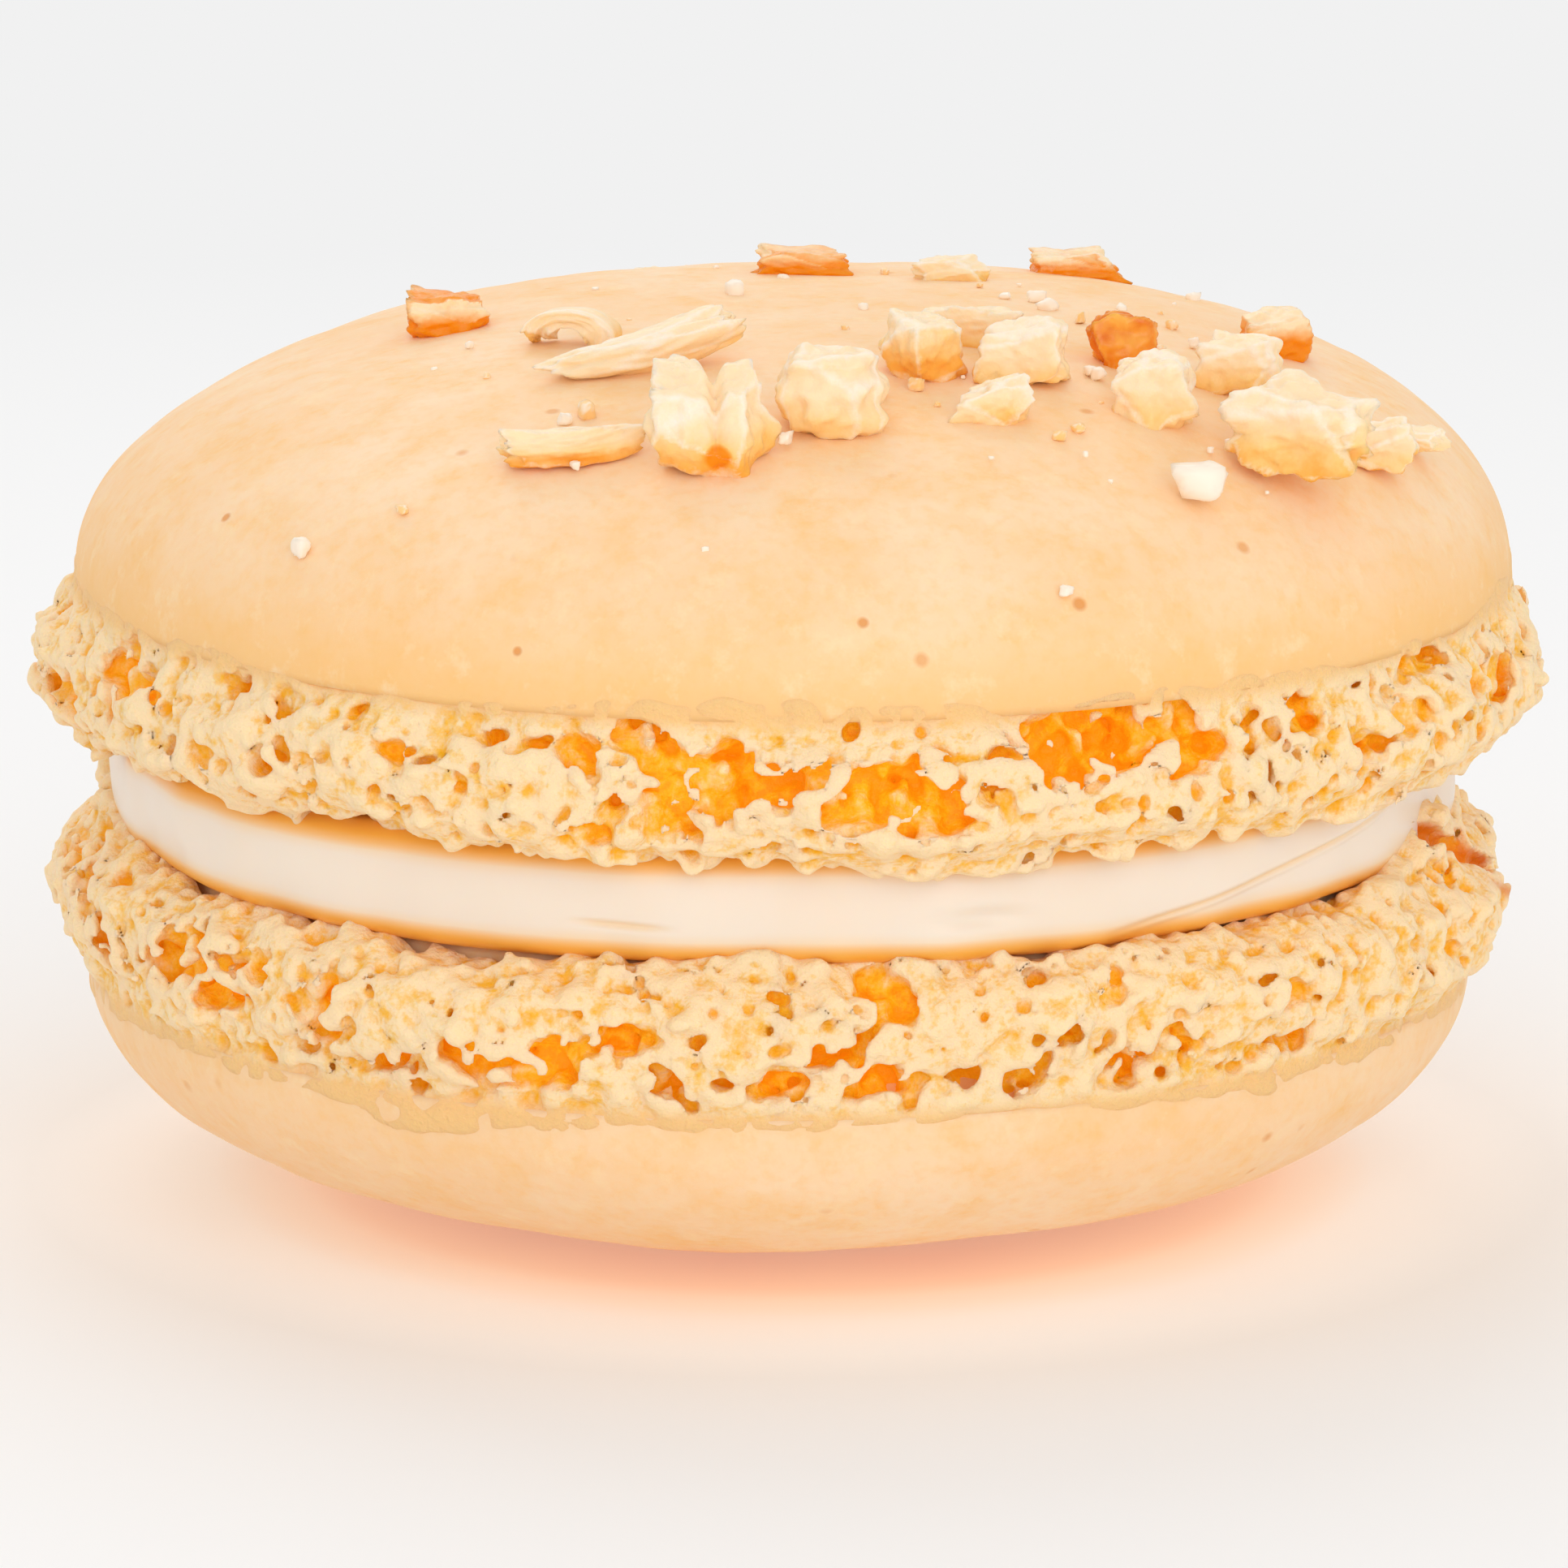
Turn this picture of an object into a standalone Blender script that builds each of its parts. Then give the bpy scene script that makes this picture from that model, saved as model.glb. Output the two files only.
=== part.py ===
"""French macaron: two meringue shells with ruffled feet, a cream filling and chopped nuts on top.

Metres, +Z up. The macaron rests on the flattened crown of its lower shell at z = 0, and the
middle of its outline is on the Z axis. Each shell, the filling and each nut piece is one solid.
"""

import math
import random
from dataclasses import dataclass

import bmesh
import bpy
from mathutils import Matrix, Vector, noise

MM = 0.001
GAP = 0.3 * MM  # clearance between pieces that touch

# Upper shell
UPPER_CAP_RADIUS = 23.2 * MM
UPPER_CAP_HEIGHT = 8.35 * MM
UPPER_FOOT_RADIUS = 24.0 * MM
UPPER_FOOT_HEIGHT = 4.6 * MM

# Lower shell, which is a little smaller and sits off the upper shell's axis
LOWER_CAP_RADIUS = 22.5 * MM
LOWER_CAP_HEIGHT = 7.45 * MM
LOWER_FOOT_RADIUS = 23.2 * MM
LOWER_FOOT_HEIGHT = 4.65 * MM
LOWER_OFFSET = -0.45 * MM
REST_RADIUS = 6.0 * MM

# Cream filling
FILLING_RADIUS = 21.8 * MM
FILLING_THICKNESS = 3.4 * MM
FILLING_BULGE = 0.45 * MM

# The cap's outline is a superellipse: fuller at the shoulder than an ellipse.
SHOULDER = 2.8
CROWN = 2.2
CAP_TILT = 0.012  # rise of the upper cap across its width

RIM_STEP = 0.25 * MM  # how far the foot is set in under the cap's edge
RIM_LIP = 0.15 * MM  # thickness of that step
FOOT_BASE_STEP = 1.1 * MM  # how far the foot's base is inside its top edge
CAP_ROWS = 7
FOOT_ROWS = 8
SHELL_STEPS = 90
FILLING_STEPS = 60

FILLING_BASE = LOWER_CAP_HEIGHT + LOWER_FOOT_HEIGHT
UPPER_BASE = FILLING_BASE + FILLING_THICKNESS
UPPER_RIM = UPPER_BASE + UPPER_FOOT_HEIGHT


@dataclass
class Nut:
    """One chopped nut piece. Its place on the cap and its sizes are in millimetres."""

    name: str
    place: tuple
    size: tuple
    turn: float = 0.0
    skin: bool = False


NUTS = (
    Nut("nut_curl", (-7.0, -4.5), (3.0, 2.0, 1.9), -20),
    Nut("nut_amber_left", (-11.0, 0.0), (2.5, 1.9, 1.4), 10, skin=True),
    Nut("nut_sliver", (-4.8, -8.3), (5.4, 1.6, 1.4), 18),
    Nut("nut_flake", (-6.7, -15.2), (4.2, 1.7, 1.0), 8),
    Nut("nut_upright", (-2.4, -16.0), (3.3, 2.4, 3.3), 5),
    Nut("nut_large", (1.2, -13.4), (3.4, 3.2, 2.8), -12),
    Nut("nut_half", (4.0, -9.3), (2.5, 2.4, 2.4), 30),
    Nut("nut_long", (5.6, -5.6), (3.0, 1.5, 1.4), -25),
    Nut("nut_facet", (7.1, -9.2), (2.8, 2.2, 2.0), -10),
    Nut("nut_grain", (6.1, -12.7), (2.2, 1.7, 1.5), 0),
    Nut("nut_skin", (10.3, -6.4), (2.2, 1.2, 2.0), 15, skin=True),
    Nut("nut_round", (11.1, -10.6), (2.6, 2.5, 2.4), 0),
    Nut("nut_pale", (13.8, -7.3), (2.5, 1.8, 1.8), -15),
    Nut("nut_amber_right", (15.3, -1.2), (2.4, 1.8, 1.6), 20, skin=True),
    Nut("nut_rough", (15.2, -12.5), (4.4, 3.0, 2.5), -28),
    Nut("nut_yellow", (18.2, -8.8), (2.0, 1.6, 1.6), 10),
    Nut("nut_chip", (19.6, -6.4), (1.7, 1.3, 0.8), -35),
    Nut("nut_ridge_left", (0.3, 7.6), (3.1, 1.6, 0.9), 0, skin=True),
    Nut("nut_ridge_middle", (5.2, 6.4), (2.4, 1.5, 0.9), 15),
    Nut("nut_ridge_right", (9.5, 9.6), (3.1, 1.6, 1.1), 8, skin=True),
    Nut("nut_back_left", (-4.0, 20.2), (2.6, 2.0, 1.4), 40),
    Nut("nut_back_right", (6.2, 19.4), (2.9, 1.9, 1.4), -30),
)


def material(name, colour, roughness):
    """A Principled material of one colour."""
    made = bpy.data.materials.new(name)
    made.use_nodes = True
    shader = made.node_tree.nodes["Principled BSDF"]
    shader.inputs["Base Color"].default_value = (*colour, 1.0)
    shader.inputs["Roughness"].default_value = roughness
    shader.inputs["Metallic"].default_value = 0.0
    return made


def cap_height(radius, cap_radius, height):
    """Height of a cap above its rim at a distance from its axis, on the superellipse."""
    share = min(radius / cap_radius, 1.0)
    angle = math.acos(share ** (SHOULDER / 2))
    return height * math.sin(angle) ** (2 / CROWN)


def cap_rows(cap_radius, height, flat_radius):
    """(radius, height above the rim) from the crown, which may be flat, to the rim."""
    start = math.acos((flat_radius / cap_radius) ** (SHOULDER / 2))
    full = height / math.sin(start) ** (2 / CROWN)
    rows = [(0.0, height)]
    for i in range(0 if flat_radius else 1, CAP_ROWS + 1):
        angle = start * (1 - i / CAP_ROWS)
        radius = cap_radius * math.cos(angle) ** (2 / SHOULDER)
        rows.append((radius, full * math.sin(angle) ** (2 / CROWN)))
    return rows


def foot_rows(cap_radius, foot_radius, height):
    """(radius, height above the rim) of the foot's bulge, from under the rim to its base."""
    top = cap_radius - RIM_STEP
    reach = foot_radius - top + FOOT_BASE_STEP * 0.4
    rows = []
    for i in range(FOOT_ROWS + 1):
        share = i / FOOT_ROWS
        bulge = math.sin(math.pi * share**0.85) ** 0.7 if i < FOOT_ROWS else 0.0
        radius = top - FOOT_BASE_STEP * share + reach * bulge
        rows.append((radius, -RIM_LIP - (height - RIM_LIP) * share))
    return rows


def shell_profile(cap, foot, flat_radius=0.0):
    """(radius, height) of a whole shell with its rim at 0: crown, rim, foot and flat base.

    cap and foot are each (radius, height).
    """
    outline = cap_rows(*cap, flat_radius) + foot_rows(cap[0], *foot)
    return outline + [(FILLING_RADIUS * 0.6, -foot[1]), (0.0, -foot[1])]


def turned(name, profile, steps):
    """A closed solid turned from a profile of (radius, height) that runs from the top down."""
    flat = bpy.data.meshes.new(name + "_profile")
    edges = [(i, i + 1) for i in range(len(profile) - 1)]
    flat.from_pydata([(r, 0.0, z) for r, z in profile], edges, [])
    guide = bpy.data.objects.new(name + "_guide", flat)
    bpy.context.scene.collection.objects.link(guide)
    screw = guide.modifiers.new("Screw", "SCREW")
    screw.axis = "Z"
    screw.steps = screw.render_steps = steps
    screw.use_merge_vertices = True
    screw.merge_threshold = 0.00001
    graph = bpy.context.evaluated_depsgraph_get()
    mesh = bpy.data.meshes.new_from_object(guide.evaluated_get(graph))
    bpy.data.objects.remove(guide)
    bpy.data.meshes.remove(flat)
    mesh.name = name
    mesh.shade_smooth()
    return mesh


def angle_gap(a, b):
    """Smallest angle between two directions."""
    return abs((a - b + math.pi) % (2 * math.pi) - math.pi)


def crumb_relief(point, seed):
    """Outward offset of the foot's crumb: lumps with hollows between them."""
    place = point / (2.4 * MM) + Vector((seed, 0.0, 0.0))
    lumps = 0.45 * MM * noise.noise(place)
    hollows = max(0.0, noise.noise(place * 0.9 + Vector((9.0, 3.0, seed))) - 0.15)
    return lumps - 2.2 * MM * hollows


def shape_foot(mesh, rim, base, seed, lobes):
    """Gives the foot its crumb, its ruffle and its lobes.

    A lobe is (direction, half width, rise, outward push) and lifts the base edge of the foot.
    """
    low, high = min(rim, base), max(rim, base)
    away = 1 if base > rim else -1
    edge = FILLING_RADIUS + GAP
    for vertex in mesh.vertices:
        here = vertex.co
        radius = math.hypot(here.x, here.y)
        if radius < edge or not low <= here.z <= high:
            continue
        share = (here.z - rim) / (base - rim)
        theta = math.atan2(here.x, -here.y)
        ruffle = 0.16 * MM * math.sin(7 * theta + seed) + 0.1 * MM * math.sin(17 * theta)
        swell = math.sin(math.pi * min(max(share, 0.0), 1.0))
        push = (ruffle + crumb_relief(here, seed)) * swell
        rise = 0.0
        for direction, half_width, lift, out in lobes:
            near = math.exp(-((angle_gap(theta, direction) / half_width) ** 2))
            rise += lift * near * share**2
            push += out * near * swell
        here.x *= 1 + push / radius
        here.y *= 1 + push / radius
        here.z += away * rise


def soften_cap(mesh, rim, crown, seed):
    """Gives the cap a slow unevenness that dies out at its crown and rim."""
    for vertex in mesh.vertices:
        here = vertex.co
        share = (here.z - rim) / (crown - rim)
        if not 0.05 < share < 0.97:
            continue
        wave = noise.noise(here / (11 * MM) + Vector((0.0, seed, 0.0)))
        here.z += 0.25 * MM * wave * math.sin(math.pi * share)


def build_upper_shell():
    """The upper shell, cap up, with its base on the filling."""
    outline = shell_profile(
        (UPPER_CAP_RADIUS, UPPER_CAP_HEIGHT), (UPPER_FOOT_RADIUS, UPPER_FOOT_HEIGHT)
    )
    profile = [(radius, UPPER_RIM + height) for radius, height in outline]
    mesh = turned("upper_shell", profile, SHELL_STEPS)
    lobes = (
        (math.radians(-86), math.radians(14), 0.35 * MM, 0.0),
        (math.radians(20), math.radians(9), 0.2 * MM, 0.1 * MM),
    )
    shape_foot(mesh, UPPER_RIM, UPPER_BASE, 1.7, lobes)
    soften_cap(mesh, UPPER_RIM, UPPER_RIM + UPPER_CAP_HEIGHT, 4.0)
    for vertex in mesh.vertices:
        share = max(0.0, (vertex.co.z - UPPER_RIM) / UPPER_CAP_HEIGHT)
        vertex.co.z += CAP_TILT * vertex.co.x * share
    return mesh


def build_lower_shell():
    """The lower shell, cap down, flat where it rests."""
    outline = shell_profile(
        (LOWER_CAP_RADIUS, LOWER_CAP_HEIGHT), (LOWER_FOOT_RADIUS, LOWER_FOOT_HEIGHT), REST_RADIUS
    )
    profile = [(radius, LOWER_CAP_HEIGHT - height) for radius, height in reversed(outline)]
    mesh = turned("lower_shell", profile, SHELL_STEPS)
    lobes = (
        (math.radians(-84), math.radians(16), 0.5 * MM, 0.0),
        (math.radians(74), math.radians(10), 0.9 * MM, 0.2 * MM),
    )
    shape_foot(mesh, LOWER_CAP_HEIGHT, FILLING_BASE, 5.3, lobes)
    soften_cap(mesh, LOWER_CAP_HEIGHT, 0.0, 8.0)
    for vertex in mesh.vertices:
        vertex.co.x += LOWER_OFFSET
    return mesh


def build_filling():
    """The cream: a disc right through the macaron, with a soft bulging edge."""
    low, high = FILLING_BASE + GAP, UPPER_BASE - GAP
    rows = 6
    profile = [(0.0, high), (FILLING_RADIUS * 0.6, high)]
    for i in range(rows + 1):
        angle = math.pi * i / rows
        radius = FILLING_RADIUS - FILLING_BULGE * (1 - math.sin(angle))
        profile.append((radius, (high + low) / 2 + (high - low) / 2 * math.cos(angle)))
    profile += [(FILLING_RADIUS * 0.6, low), (0.0, low)]
    mesh = turned("filling", profile, FILLING_STEPS)
    for vertex in mesh.vertices:
        here = vertex.co
        radius = math.hypot(here.x, here.y)
        if radius > FILLING_RADIUS * 0.9:
            theta = math.atan2(here.x, -here.y)
            wave = 0.12 * MM * (math.sin(3 * theta + 0.6) + 0.6 * math.sin(8 * theta + 2.0)) - 0.15 * MM
            here.x *= 1 + wave / radius
            here.y *= 1 + wave / radius
    return mesh


def cap_frame(x, y):
    """The place and upright of the upper cap's surface over (x, y)."""

    def top(px, py):
        height = cap_height(math.hypot(px, py), UPPER_CAP_RADIUS, UPPER_CAP_HEIGHT)
        return UPPER_RIM + height * (1 + CAP_TILT * px / UPPER_CAP_HEIGHT)

    step = 0.5 * MM
    slope_x = (top(x + step, y) - top(x - step, y)) / (2 * step)
    slope_y = (top(x, y + step) - top(x, y - step)) / (2 * step)
    upright = Vector((-slope_x, -slope_y, 1.0)).normalized()
    return Vector((x, y, top(x, y))), upright


def chopped(name, size, seed):
    """A chopped piece: a squashed ball cut by planes, flat underneath, with its base at 0."""
    dice = random.Random(seed)
    mesh = bmesh.new()
    bmesh.ops.create_icosphere(mesh, subdivisions=1, radius=1.0)
    for _ in range(6):
        aim = Vector((dice.uniform(-1, 1), dice.uniform(-1, 1), dice.uniform(-0.2, 1))).normalized()
        cut_away(mesh, aim * dice.uniform(0.66, 0.86), aim)
    cut_away(mesh, Vector((0, 0, -0.6)), Vector((0, 0, -1)))
    low = min(v.co.z for v in mesh.verts)
    high = max(v.co.z for v in mesh.verts)
    wide = [max(abs(v.co[axis]) for v in mesh.verts) for axis in (0, 1)]
    for vertex in mesh.verts:
        vertex.co.x *= size[0] / 2 * MM / wide[0]
        vertex.co.y *= size[1] / 2 * MM / wide[1]
        vertex.co.z = (vertex.co.z - low) / (high - low) * size[2] * MM
    bmesh.ops.dissolve_limit(mesh, angle_limit=math.radians(13), verts=mesh.verts, edges=mesh.edges)
    bmesh.ops.triangulate(mesh, faces=mesh.faces)
    bmesh.ops.recalc_face_normals(mesh, faces=mesh.faces)
    made = bpy.data.meshes.new(name)
    mesh.to_mesh(made)
    mesh.free()
    return made


def cut_away(mesh, point, aim):
    """Cuts a closed bmesh by a plane, drops the side it points to and closes the cut."""
    geometry = mesh.verts[:] + mesh.edges[:] + mesh.faces[:]
    cut = bmesh.ops.bisect_plane(
        mesh, geom=geometry, dist=1e-6, plane_co=point, plane_no=aim, clear_outer=True
    )
    edges = [item for item in cut["geom_cut"] if isinstance(item, bmesh.types.BMEdge)]
    if edges:
        bmesh.ops.holes_fill(mesh, edges=edges, sides=0)


def place(mesh, collection, finish, matrix=None):
    """Adds a mesh to the macaron as one object."""
    made = bpy.data.objects.new(mesh.name, mesh)
    mesh.materials.append(finish)
    collection.objects.link(made)
    if matrix:
        made.matrix_world = matrix
    return made


def build_nuts(collection, kernel, skin):
    """The nut pieces, each lying on the cap's slope with a small gap."""
    for number, nut in enumerate(NUTS):
        spot, upright = cap_frame(nut.place[0] * MM, nut.place[1] * MM)
        lean = Vector((0, 0, 1)).rotation_difference(upright).to_matrix().to_4x4()
        turn = Matrix.Rotation(math.radians(nut.turn), 4, "Z")
        mesh = chopped(nut.name, nut.size, 100 + number)
        matrix = Matrix.Translation(spot + upright * GAP) @ lean @ turn
        place(mesh, collection, skin if nut.skin else kernel, matrix)


def centre_outline(collection):
    """Moves everything so that the middle of the outline is on the Z axis."""
    bpy.context.view_layer.update()
    corners = [
        item.matrix_world @ vertex.co for item in collection.objects for vertex in item.data.vertices
    ]
    shift = Vector(
        [-(min(c[axis] for c in corners) + max(c[axis] for c in corners)) / 2 for axis in (0, 1)] + [0.0]
    )
    for item in collection.objects:
        item.location += shift


def main():
    for item in list(bpy.data.objects):
        bpy.data.objects.remove(item)
    macaron = bpy.data.collections.new("french_macaron")
    bpy.context.scene.collection.children.link(macaron)
    meringue = material("meringue", (0.95, 0.66, 0.36), 0.62)
    cream = material("cream", (0.93, 0.88, 0.82), 0.4)
    kernel = material("nut_kernel", (0.95, 0.8, 0.58), 0.55)
    skin = material("nut_amber", (0.9, 0.45, 0.08), 0.4)
    place(build_lower_shell(), macaron, meringue)
    place(build_filling(), macaron, cream)
    place(build_upper_shell(), macaron, meringue)
    build_nuts(macaron, kernel, skin)
    centre_outline(macaron)


main()
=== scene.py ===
"""Looks of a french macaron: two almond meringue shells, a cream filling and chopped nuts.

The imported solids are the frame. Each class below makes one sub-assembly at its real
size, in millimetres, and dresses it. Angles run round the macaron from the front, which
faces -Y, towards +X.
"""

import logging
import math
from dataclasses import dataclass, field
from enum import Enum

import bpy
import numpy as np
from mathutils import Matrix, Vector


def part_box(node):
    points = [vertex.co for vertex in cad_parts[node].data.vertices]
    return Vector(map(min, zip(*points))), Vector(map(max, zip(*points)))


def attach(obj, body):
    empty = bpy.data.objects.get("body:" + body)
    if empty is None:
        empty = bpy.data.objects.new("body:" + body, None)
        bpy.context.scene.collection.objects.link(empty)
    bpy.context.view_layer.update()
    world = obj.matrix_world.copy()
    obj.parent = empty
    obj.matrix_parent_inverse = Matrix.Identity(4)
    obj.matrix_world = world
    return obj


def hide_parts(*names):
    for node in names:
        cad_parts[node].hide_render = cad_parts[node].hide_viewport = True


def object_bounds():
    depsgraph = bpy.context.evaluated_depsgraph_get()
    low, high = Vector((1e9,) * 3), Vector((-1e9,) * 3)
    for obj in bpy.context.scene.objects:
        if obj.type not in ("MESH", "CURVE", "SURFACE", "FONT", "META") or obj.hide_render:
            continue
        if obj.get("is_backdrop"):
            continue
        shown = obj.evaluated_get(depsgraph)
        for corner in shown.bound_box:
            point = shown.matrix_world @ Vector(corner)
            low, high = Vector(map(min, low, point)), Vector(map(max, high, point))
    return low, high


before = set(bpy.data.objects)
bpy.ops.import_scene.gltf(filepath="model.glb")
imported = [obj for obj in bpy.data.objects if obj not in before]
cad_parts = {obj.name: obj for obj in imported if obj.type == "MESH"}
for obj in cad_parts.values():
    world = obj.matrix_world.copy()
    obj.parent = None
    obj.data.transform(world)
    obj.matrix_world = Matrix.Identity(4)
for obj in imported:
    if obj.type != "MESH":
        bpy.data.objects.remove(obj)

MM = 0.001
BODY = "root"
FULL_TURN = 2.0 * math.pi
MAP_NAME = "OFBake"

Array = np.ndarray
Colour = tuple[float, float, float, float]
log = logging.getLogger("macaron")

CAD_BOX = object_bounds()


# ---------------------------------------------------------------- numbers and noise


def srgb(red: int, green: int, blue: int) -> Colour:
    """Turn a display colour into linear light.

    Args:
        red: Red, 0 to 255.
        green: Green, 0 to 255.
        blue: Blue, 0 to 255.

    Returns:
        The linear colour with alpha 1.
    """
    values = [channel / 255 for channel in (red, green, blue)]
    linear = [v / 12.92 if v <= 0.04045 else ((v + 0.055) / 1.055) ** 2.4 for v in values]
    return (linear[0], linear[1], linear[2], 1.0)


def smooth(value: Array) -> Array:
    """Ease from 0 to 1 as the value goes from 0 to 1: 3v squared less 2v cubed.

    Args:
        value: Any numbers.

    Returns:
        The eased numbers, 0 to 1.
    """
    v = np.clip(value, 0.0, 1.0)
    return v * v * (3.0 - 2.0 * v)


def turn_apart(angle: Array, centre: float) -> Array:
    """Angle from a centre, wrapped to half a turn either way.

    Args:
        angle: Angles in radians.
        centre: The centre in degrees.

    Returns:
        The signed difference in radians.
    """
    return (angle - math.radians(centre) + math.pi) % FULL_TURN - math.pi


def spline_weights(samples: Array, knots: int, wrap: bool) -> Array:
    """Cubic B-spline weights that carry lattice values to samples between them.

    Args:
        samples: Sample places in lattice cells, from 0 to knots.
        knots: Number of lattice cells.
        wrap: Whether the last cell meets the first.

    Returns:
        A matrix of samples by lattice values.
    """
    base = np.floor(samples).astype(int)
    t = samples - base
    parts = (
        (1 - t) ** 3 / 6,
        (3 * t**3 - 6 * t**2 + 4) / 6,
        (-3 * t**3 + 3 * t**2 + 3 * t + 1) / 6,
        t**3 / 6,
    )
    width = knots if wrap else knots + 4
    matrix = np.zeros((len(samples), width), np.float32)
    rows = np.arange(len(samples))
    for offset, part in enumerate(parts):
        column = base + offset
        column = column % knots if wrap else np.clip(column, 0, width - 1)
        np.add.at(matrix, (rows, column), part)
    return matrix


def lattice_noise(axes: tuple[Array, ...], size: float, rng: np.random.Generator) -> Array:
    """Smooth noise on a regular grid whose first axis closes on itself.

    Random lattice values are spread by cubic B-splines along each axis in turn, and the
    result is scaled to a spread of 1.

    Args:
        axes: The grid's places along each axis, in millimetres.
        size: The lattice cell in millimetres.
        rng: The source of random numbers.

    Returns:
        The noise at every grid point.
    """
    weights = []
    for number, places in enumerate(axes):
        step = places[1] - places[0]
        span = places[-1] - places[0] + step
        knots = max(3, round(span / size))
        samples = (places - places[0]) / span * knots
        weights.append(spline_weights(samples, knots, number == 0))
    values = rng.standard_normal([w.shape[1] for w in weights]).astype(np.float32)
    for matrix in weights:
        values = np.moveaxis(np.tensordot(matrix, values, axes=(1, 0)), 0, -1)
    return values / values.std()


def noise_at(points: Array, size: float, seed: int) -> Array:
    """Smooth noise at loose points, by cubic B-splines over a seeded lattice.

    Args:
        points: Points in millimetres, one row each, in two or three dimensions.
        size: The lattice cell in millimetres.
        seed: The seed of the lattice.

    Returns:
        One number for each point, with a spread of about 1.
    """
    places = points / size
    base = np.floor(places).astype(int)
    t = places - base
    low = base.min(axis=0)
    shape = base.max(axis=0) - low + 4
    lattice = np.random.default_rng(seed).standard_normal(shape)
    parts = np.stack(
        (
            (1 - t) ** 3 / 6,
            (3 * t**3 - 6 * t**2 + 4) / 6,
            (-3 * t**3 + 3 * t**2 + 3 * t + 1) / 6,
            t**3 / 6,
        )
    )
    total = np.zeros(len(points))
    for offsets in np.ndindex(*(4,) * points.shape[1]):
        index = tuple(base[:, a] - low[a] + o for a, o in enumerate(offsets))
        weight = np.prod([parts[o, :, a] for a, o in enumerate(offsets)], axis=0)
        total += weight * lattice[index]
    return total / (0.48 ** (points.shape[1] / 1.5))


# ---------------------------------------------------------------- meshes


def grid_faces(rows: int, columns: int, close_rows: bool, close_columns: bool) -> Array:
    """Quads of a grid of points, numbered row by row.

    Args:
        rows: Rows of points.
        columns: Points in a row.
        close_rows: Whether the last row meets the first.
        close_columns: Whether each row closes on itself.

    Returns:
        Four point numbers for each quad.
    """
    row = np.arange(rows if close_rows else rows - 1)[:, None]
    column = np.arange(columns if close_columns else columns - 1)[None, :]
    below, beside = (row + 1) % rows, (column + 1) % columns
    corners = [a * columns + b for a, b in ((row, column), (row, beside), (below, beside), (below, column))]
    return np.stack([np.broadcast_to(c, (len(row), column.shape[1])) for c in corners], -1).reshape(-1, 4)


@dataclass
class Skin:
    """A surface ready to be a piece: points in millimetres, quads and what they carry.

    A triangle is a quad whose first two corners are the same point.
    """

    points: Array
    faces: Array
    attributes: dict[str, Array] = field(default_factory=dict)
    face_map: Array | None = None
    normals: Array | None = None

    def turned_outward(self) -> "Skin":
        """Reverse the faces if the volume that they enclose comes out negative."""
        a, b, c, d = (self.points[self.faces[:, n]] for n in range(4))
        volume = (np.cross(c - a, d - b) * (a + b + c + d)).sum()
        if volume < 0:
            turned = [1, 0, 3, 2]
            self.faces = self.faces[:, turned]
            if self.face_map is not None:
                self.face_map = self.face_map[:, turned]
        return self

    def make(self, name: str, material: bpy.types.Material) -> bpy.types.Object:
        """Put the surface into the scene as one smooth piece.

        Args:
            name: The piece's name.
            material: Its finish.

        Returns:
            The new object, at the origin.
        """
        mesh = bpy.data.meshes.new(name)
        keep = np.ones(self.faces.shape, bool)
        keep[self.faces[:, 0] == self.faces[:, 1], 0] = False
        loops = self.faces[keep]
        sizes = keep.sum(axis=1)
        starts = np.concatenate(([0], np.cumsum(sizes)[:-1]))
        mesh.vertices.add(len(self.points))
        mesh.vertices.foreach_set("co", (self.points * MM).astype(np.float32).reshape(-1))
        mesh.loops.add(len(loops))
        mesh.loops.foreach_set("vertex_index", loops.astype(np.int32))
        mesh.polygons.add(len(self.faces))
        mesh.polygons.foreach_set("loop_start", starts.astype(np.int32))
        mesh.polygons.foreach_set("loop_total", sizes.astype(np.int32))
        mesh.update(calc_edges=True)
        mesh.validate(clean_customdata=False)
        mesh.shade_smooth()
        for label, values in self.attributes.items():
            layer = mesh.attributes.new(label, "FLOAT", "POINT")
            layer.data.foreach_set("value", values.astype(np.float32).reshape(-1))
        if self.face_map is not None:
            layer = mesh.uv_layers.new(name=MAP_NAME)
            layer.data.foreach_set("uv", self.face_map[keep].astype(np.float32).reshape(-1))
        if self.normals is not None:
            mesh.normals_split_custom_set_from_vertices(self.normals.tolist())
        mesh.materials.append(material)
        piece = bpy.data.objects.new(name, mesh)
        bpy.context.scene.collection.objects.link(piece)
        log.info("%s: %d quads", name, len(self.faces))
        return piece


def vertex_normals(points: Array, faces: Array) -> Array:
    """Unit normals at the points, each the sum of its faces' own.

    Args:
        points: The points.
        faces: Quads of point numbers.

    Returns:
        One unit normal for each point.
    """
    a, b, c, d = (points[faces[:, n]] for n in range(4))
    across = np.cross(c - a, d - b)
    total = np.zeros_like(points)
    for axis in range(3):
        share = np.repeat(across[:, axis], 4)
        total[:, axis] = np.bincount(faces.reshape(-1), share, len(points))
    return total / np.maximum(np.linalg.norm(total, axis=1, keepdims=True), 1e-9)


def joined(skins: list[Skin]) -> Skin:
    """Make one surface of several.

    Args:
        skins: The surfaces, which carry the same attributes.

    Returns:
        The joined surface.
    """
    starts = np.cumsum([0] + [len(s.points) for s in skins[:-1]])
    maps = [s.face_map for s in skins]
    return Skin(
        np.concatenate([s.points for s in skins]),
        np.concatenate([s.faces + start for s, start in zip(skins, starts)]),
        {k: np.concatenate([s.attributes[k] for s in skins]) for k in skins[0].attributes},
        None if maps[0] is None else np.concatenate(maps),
    )


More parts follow.
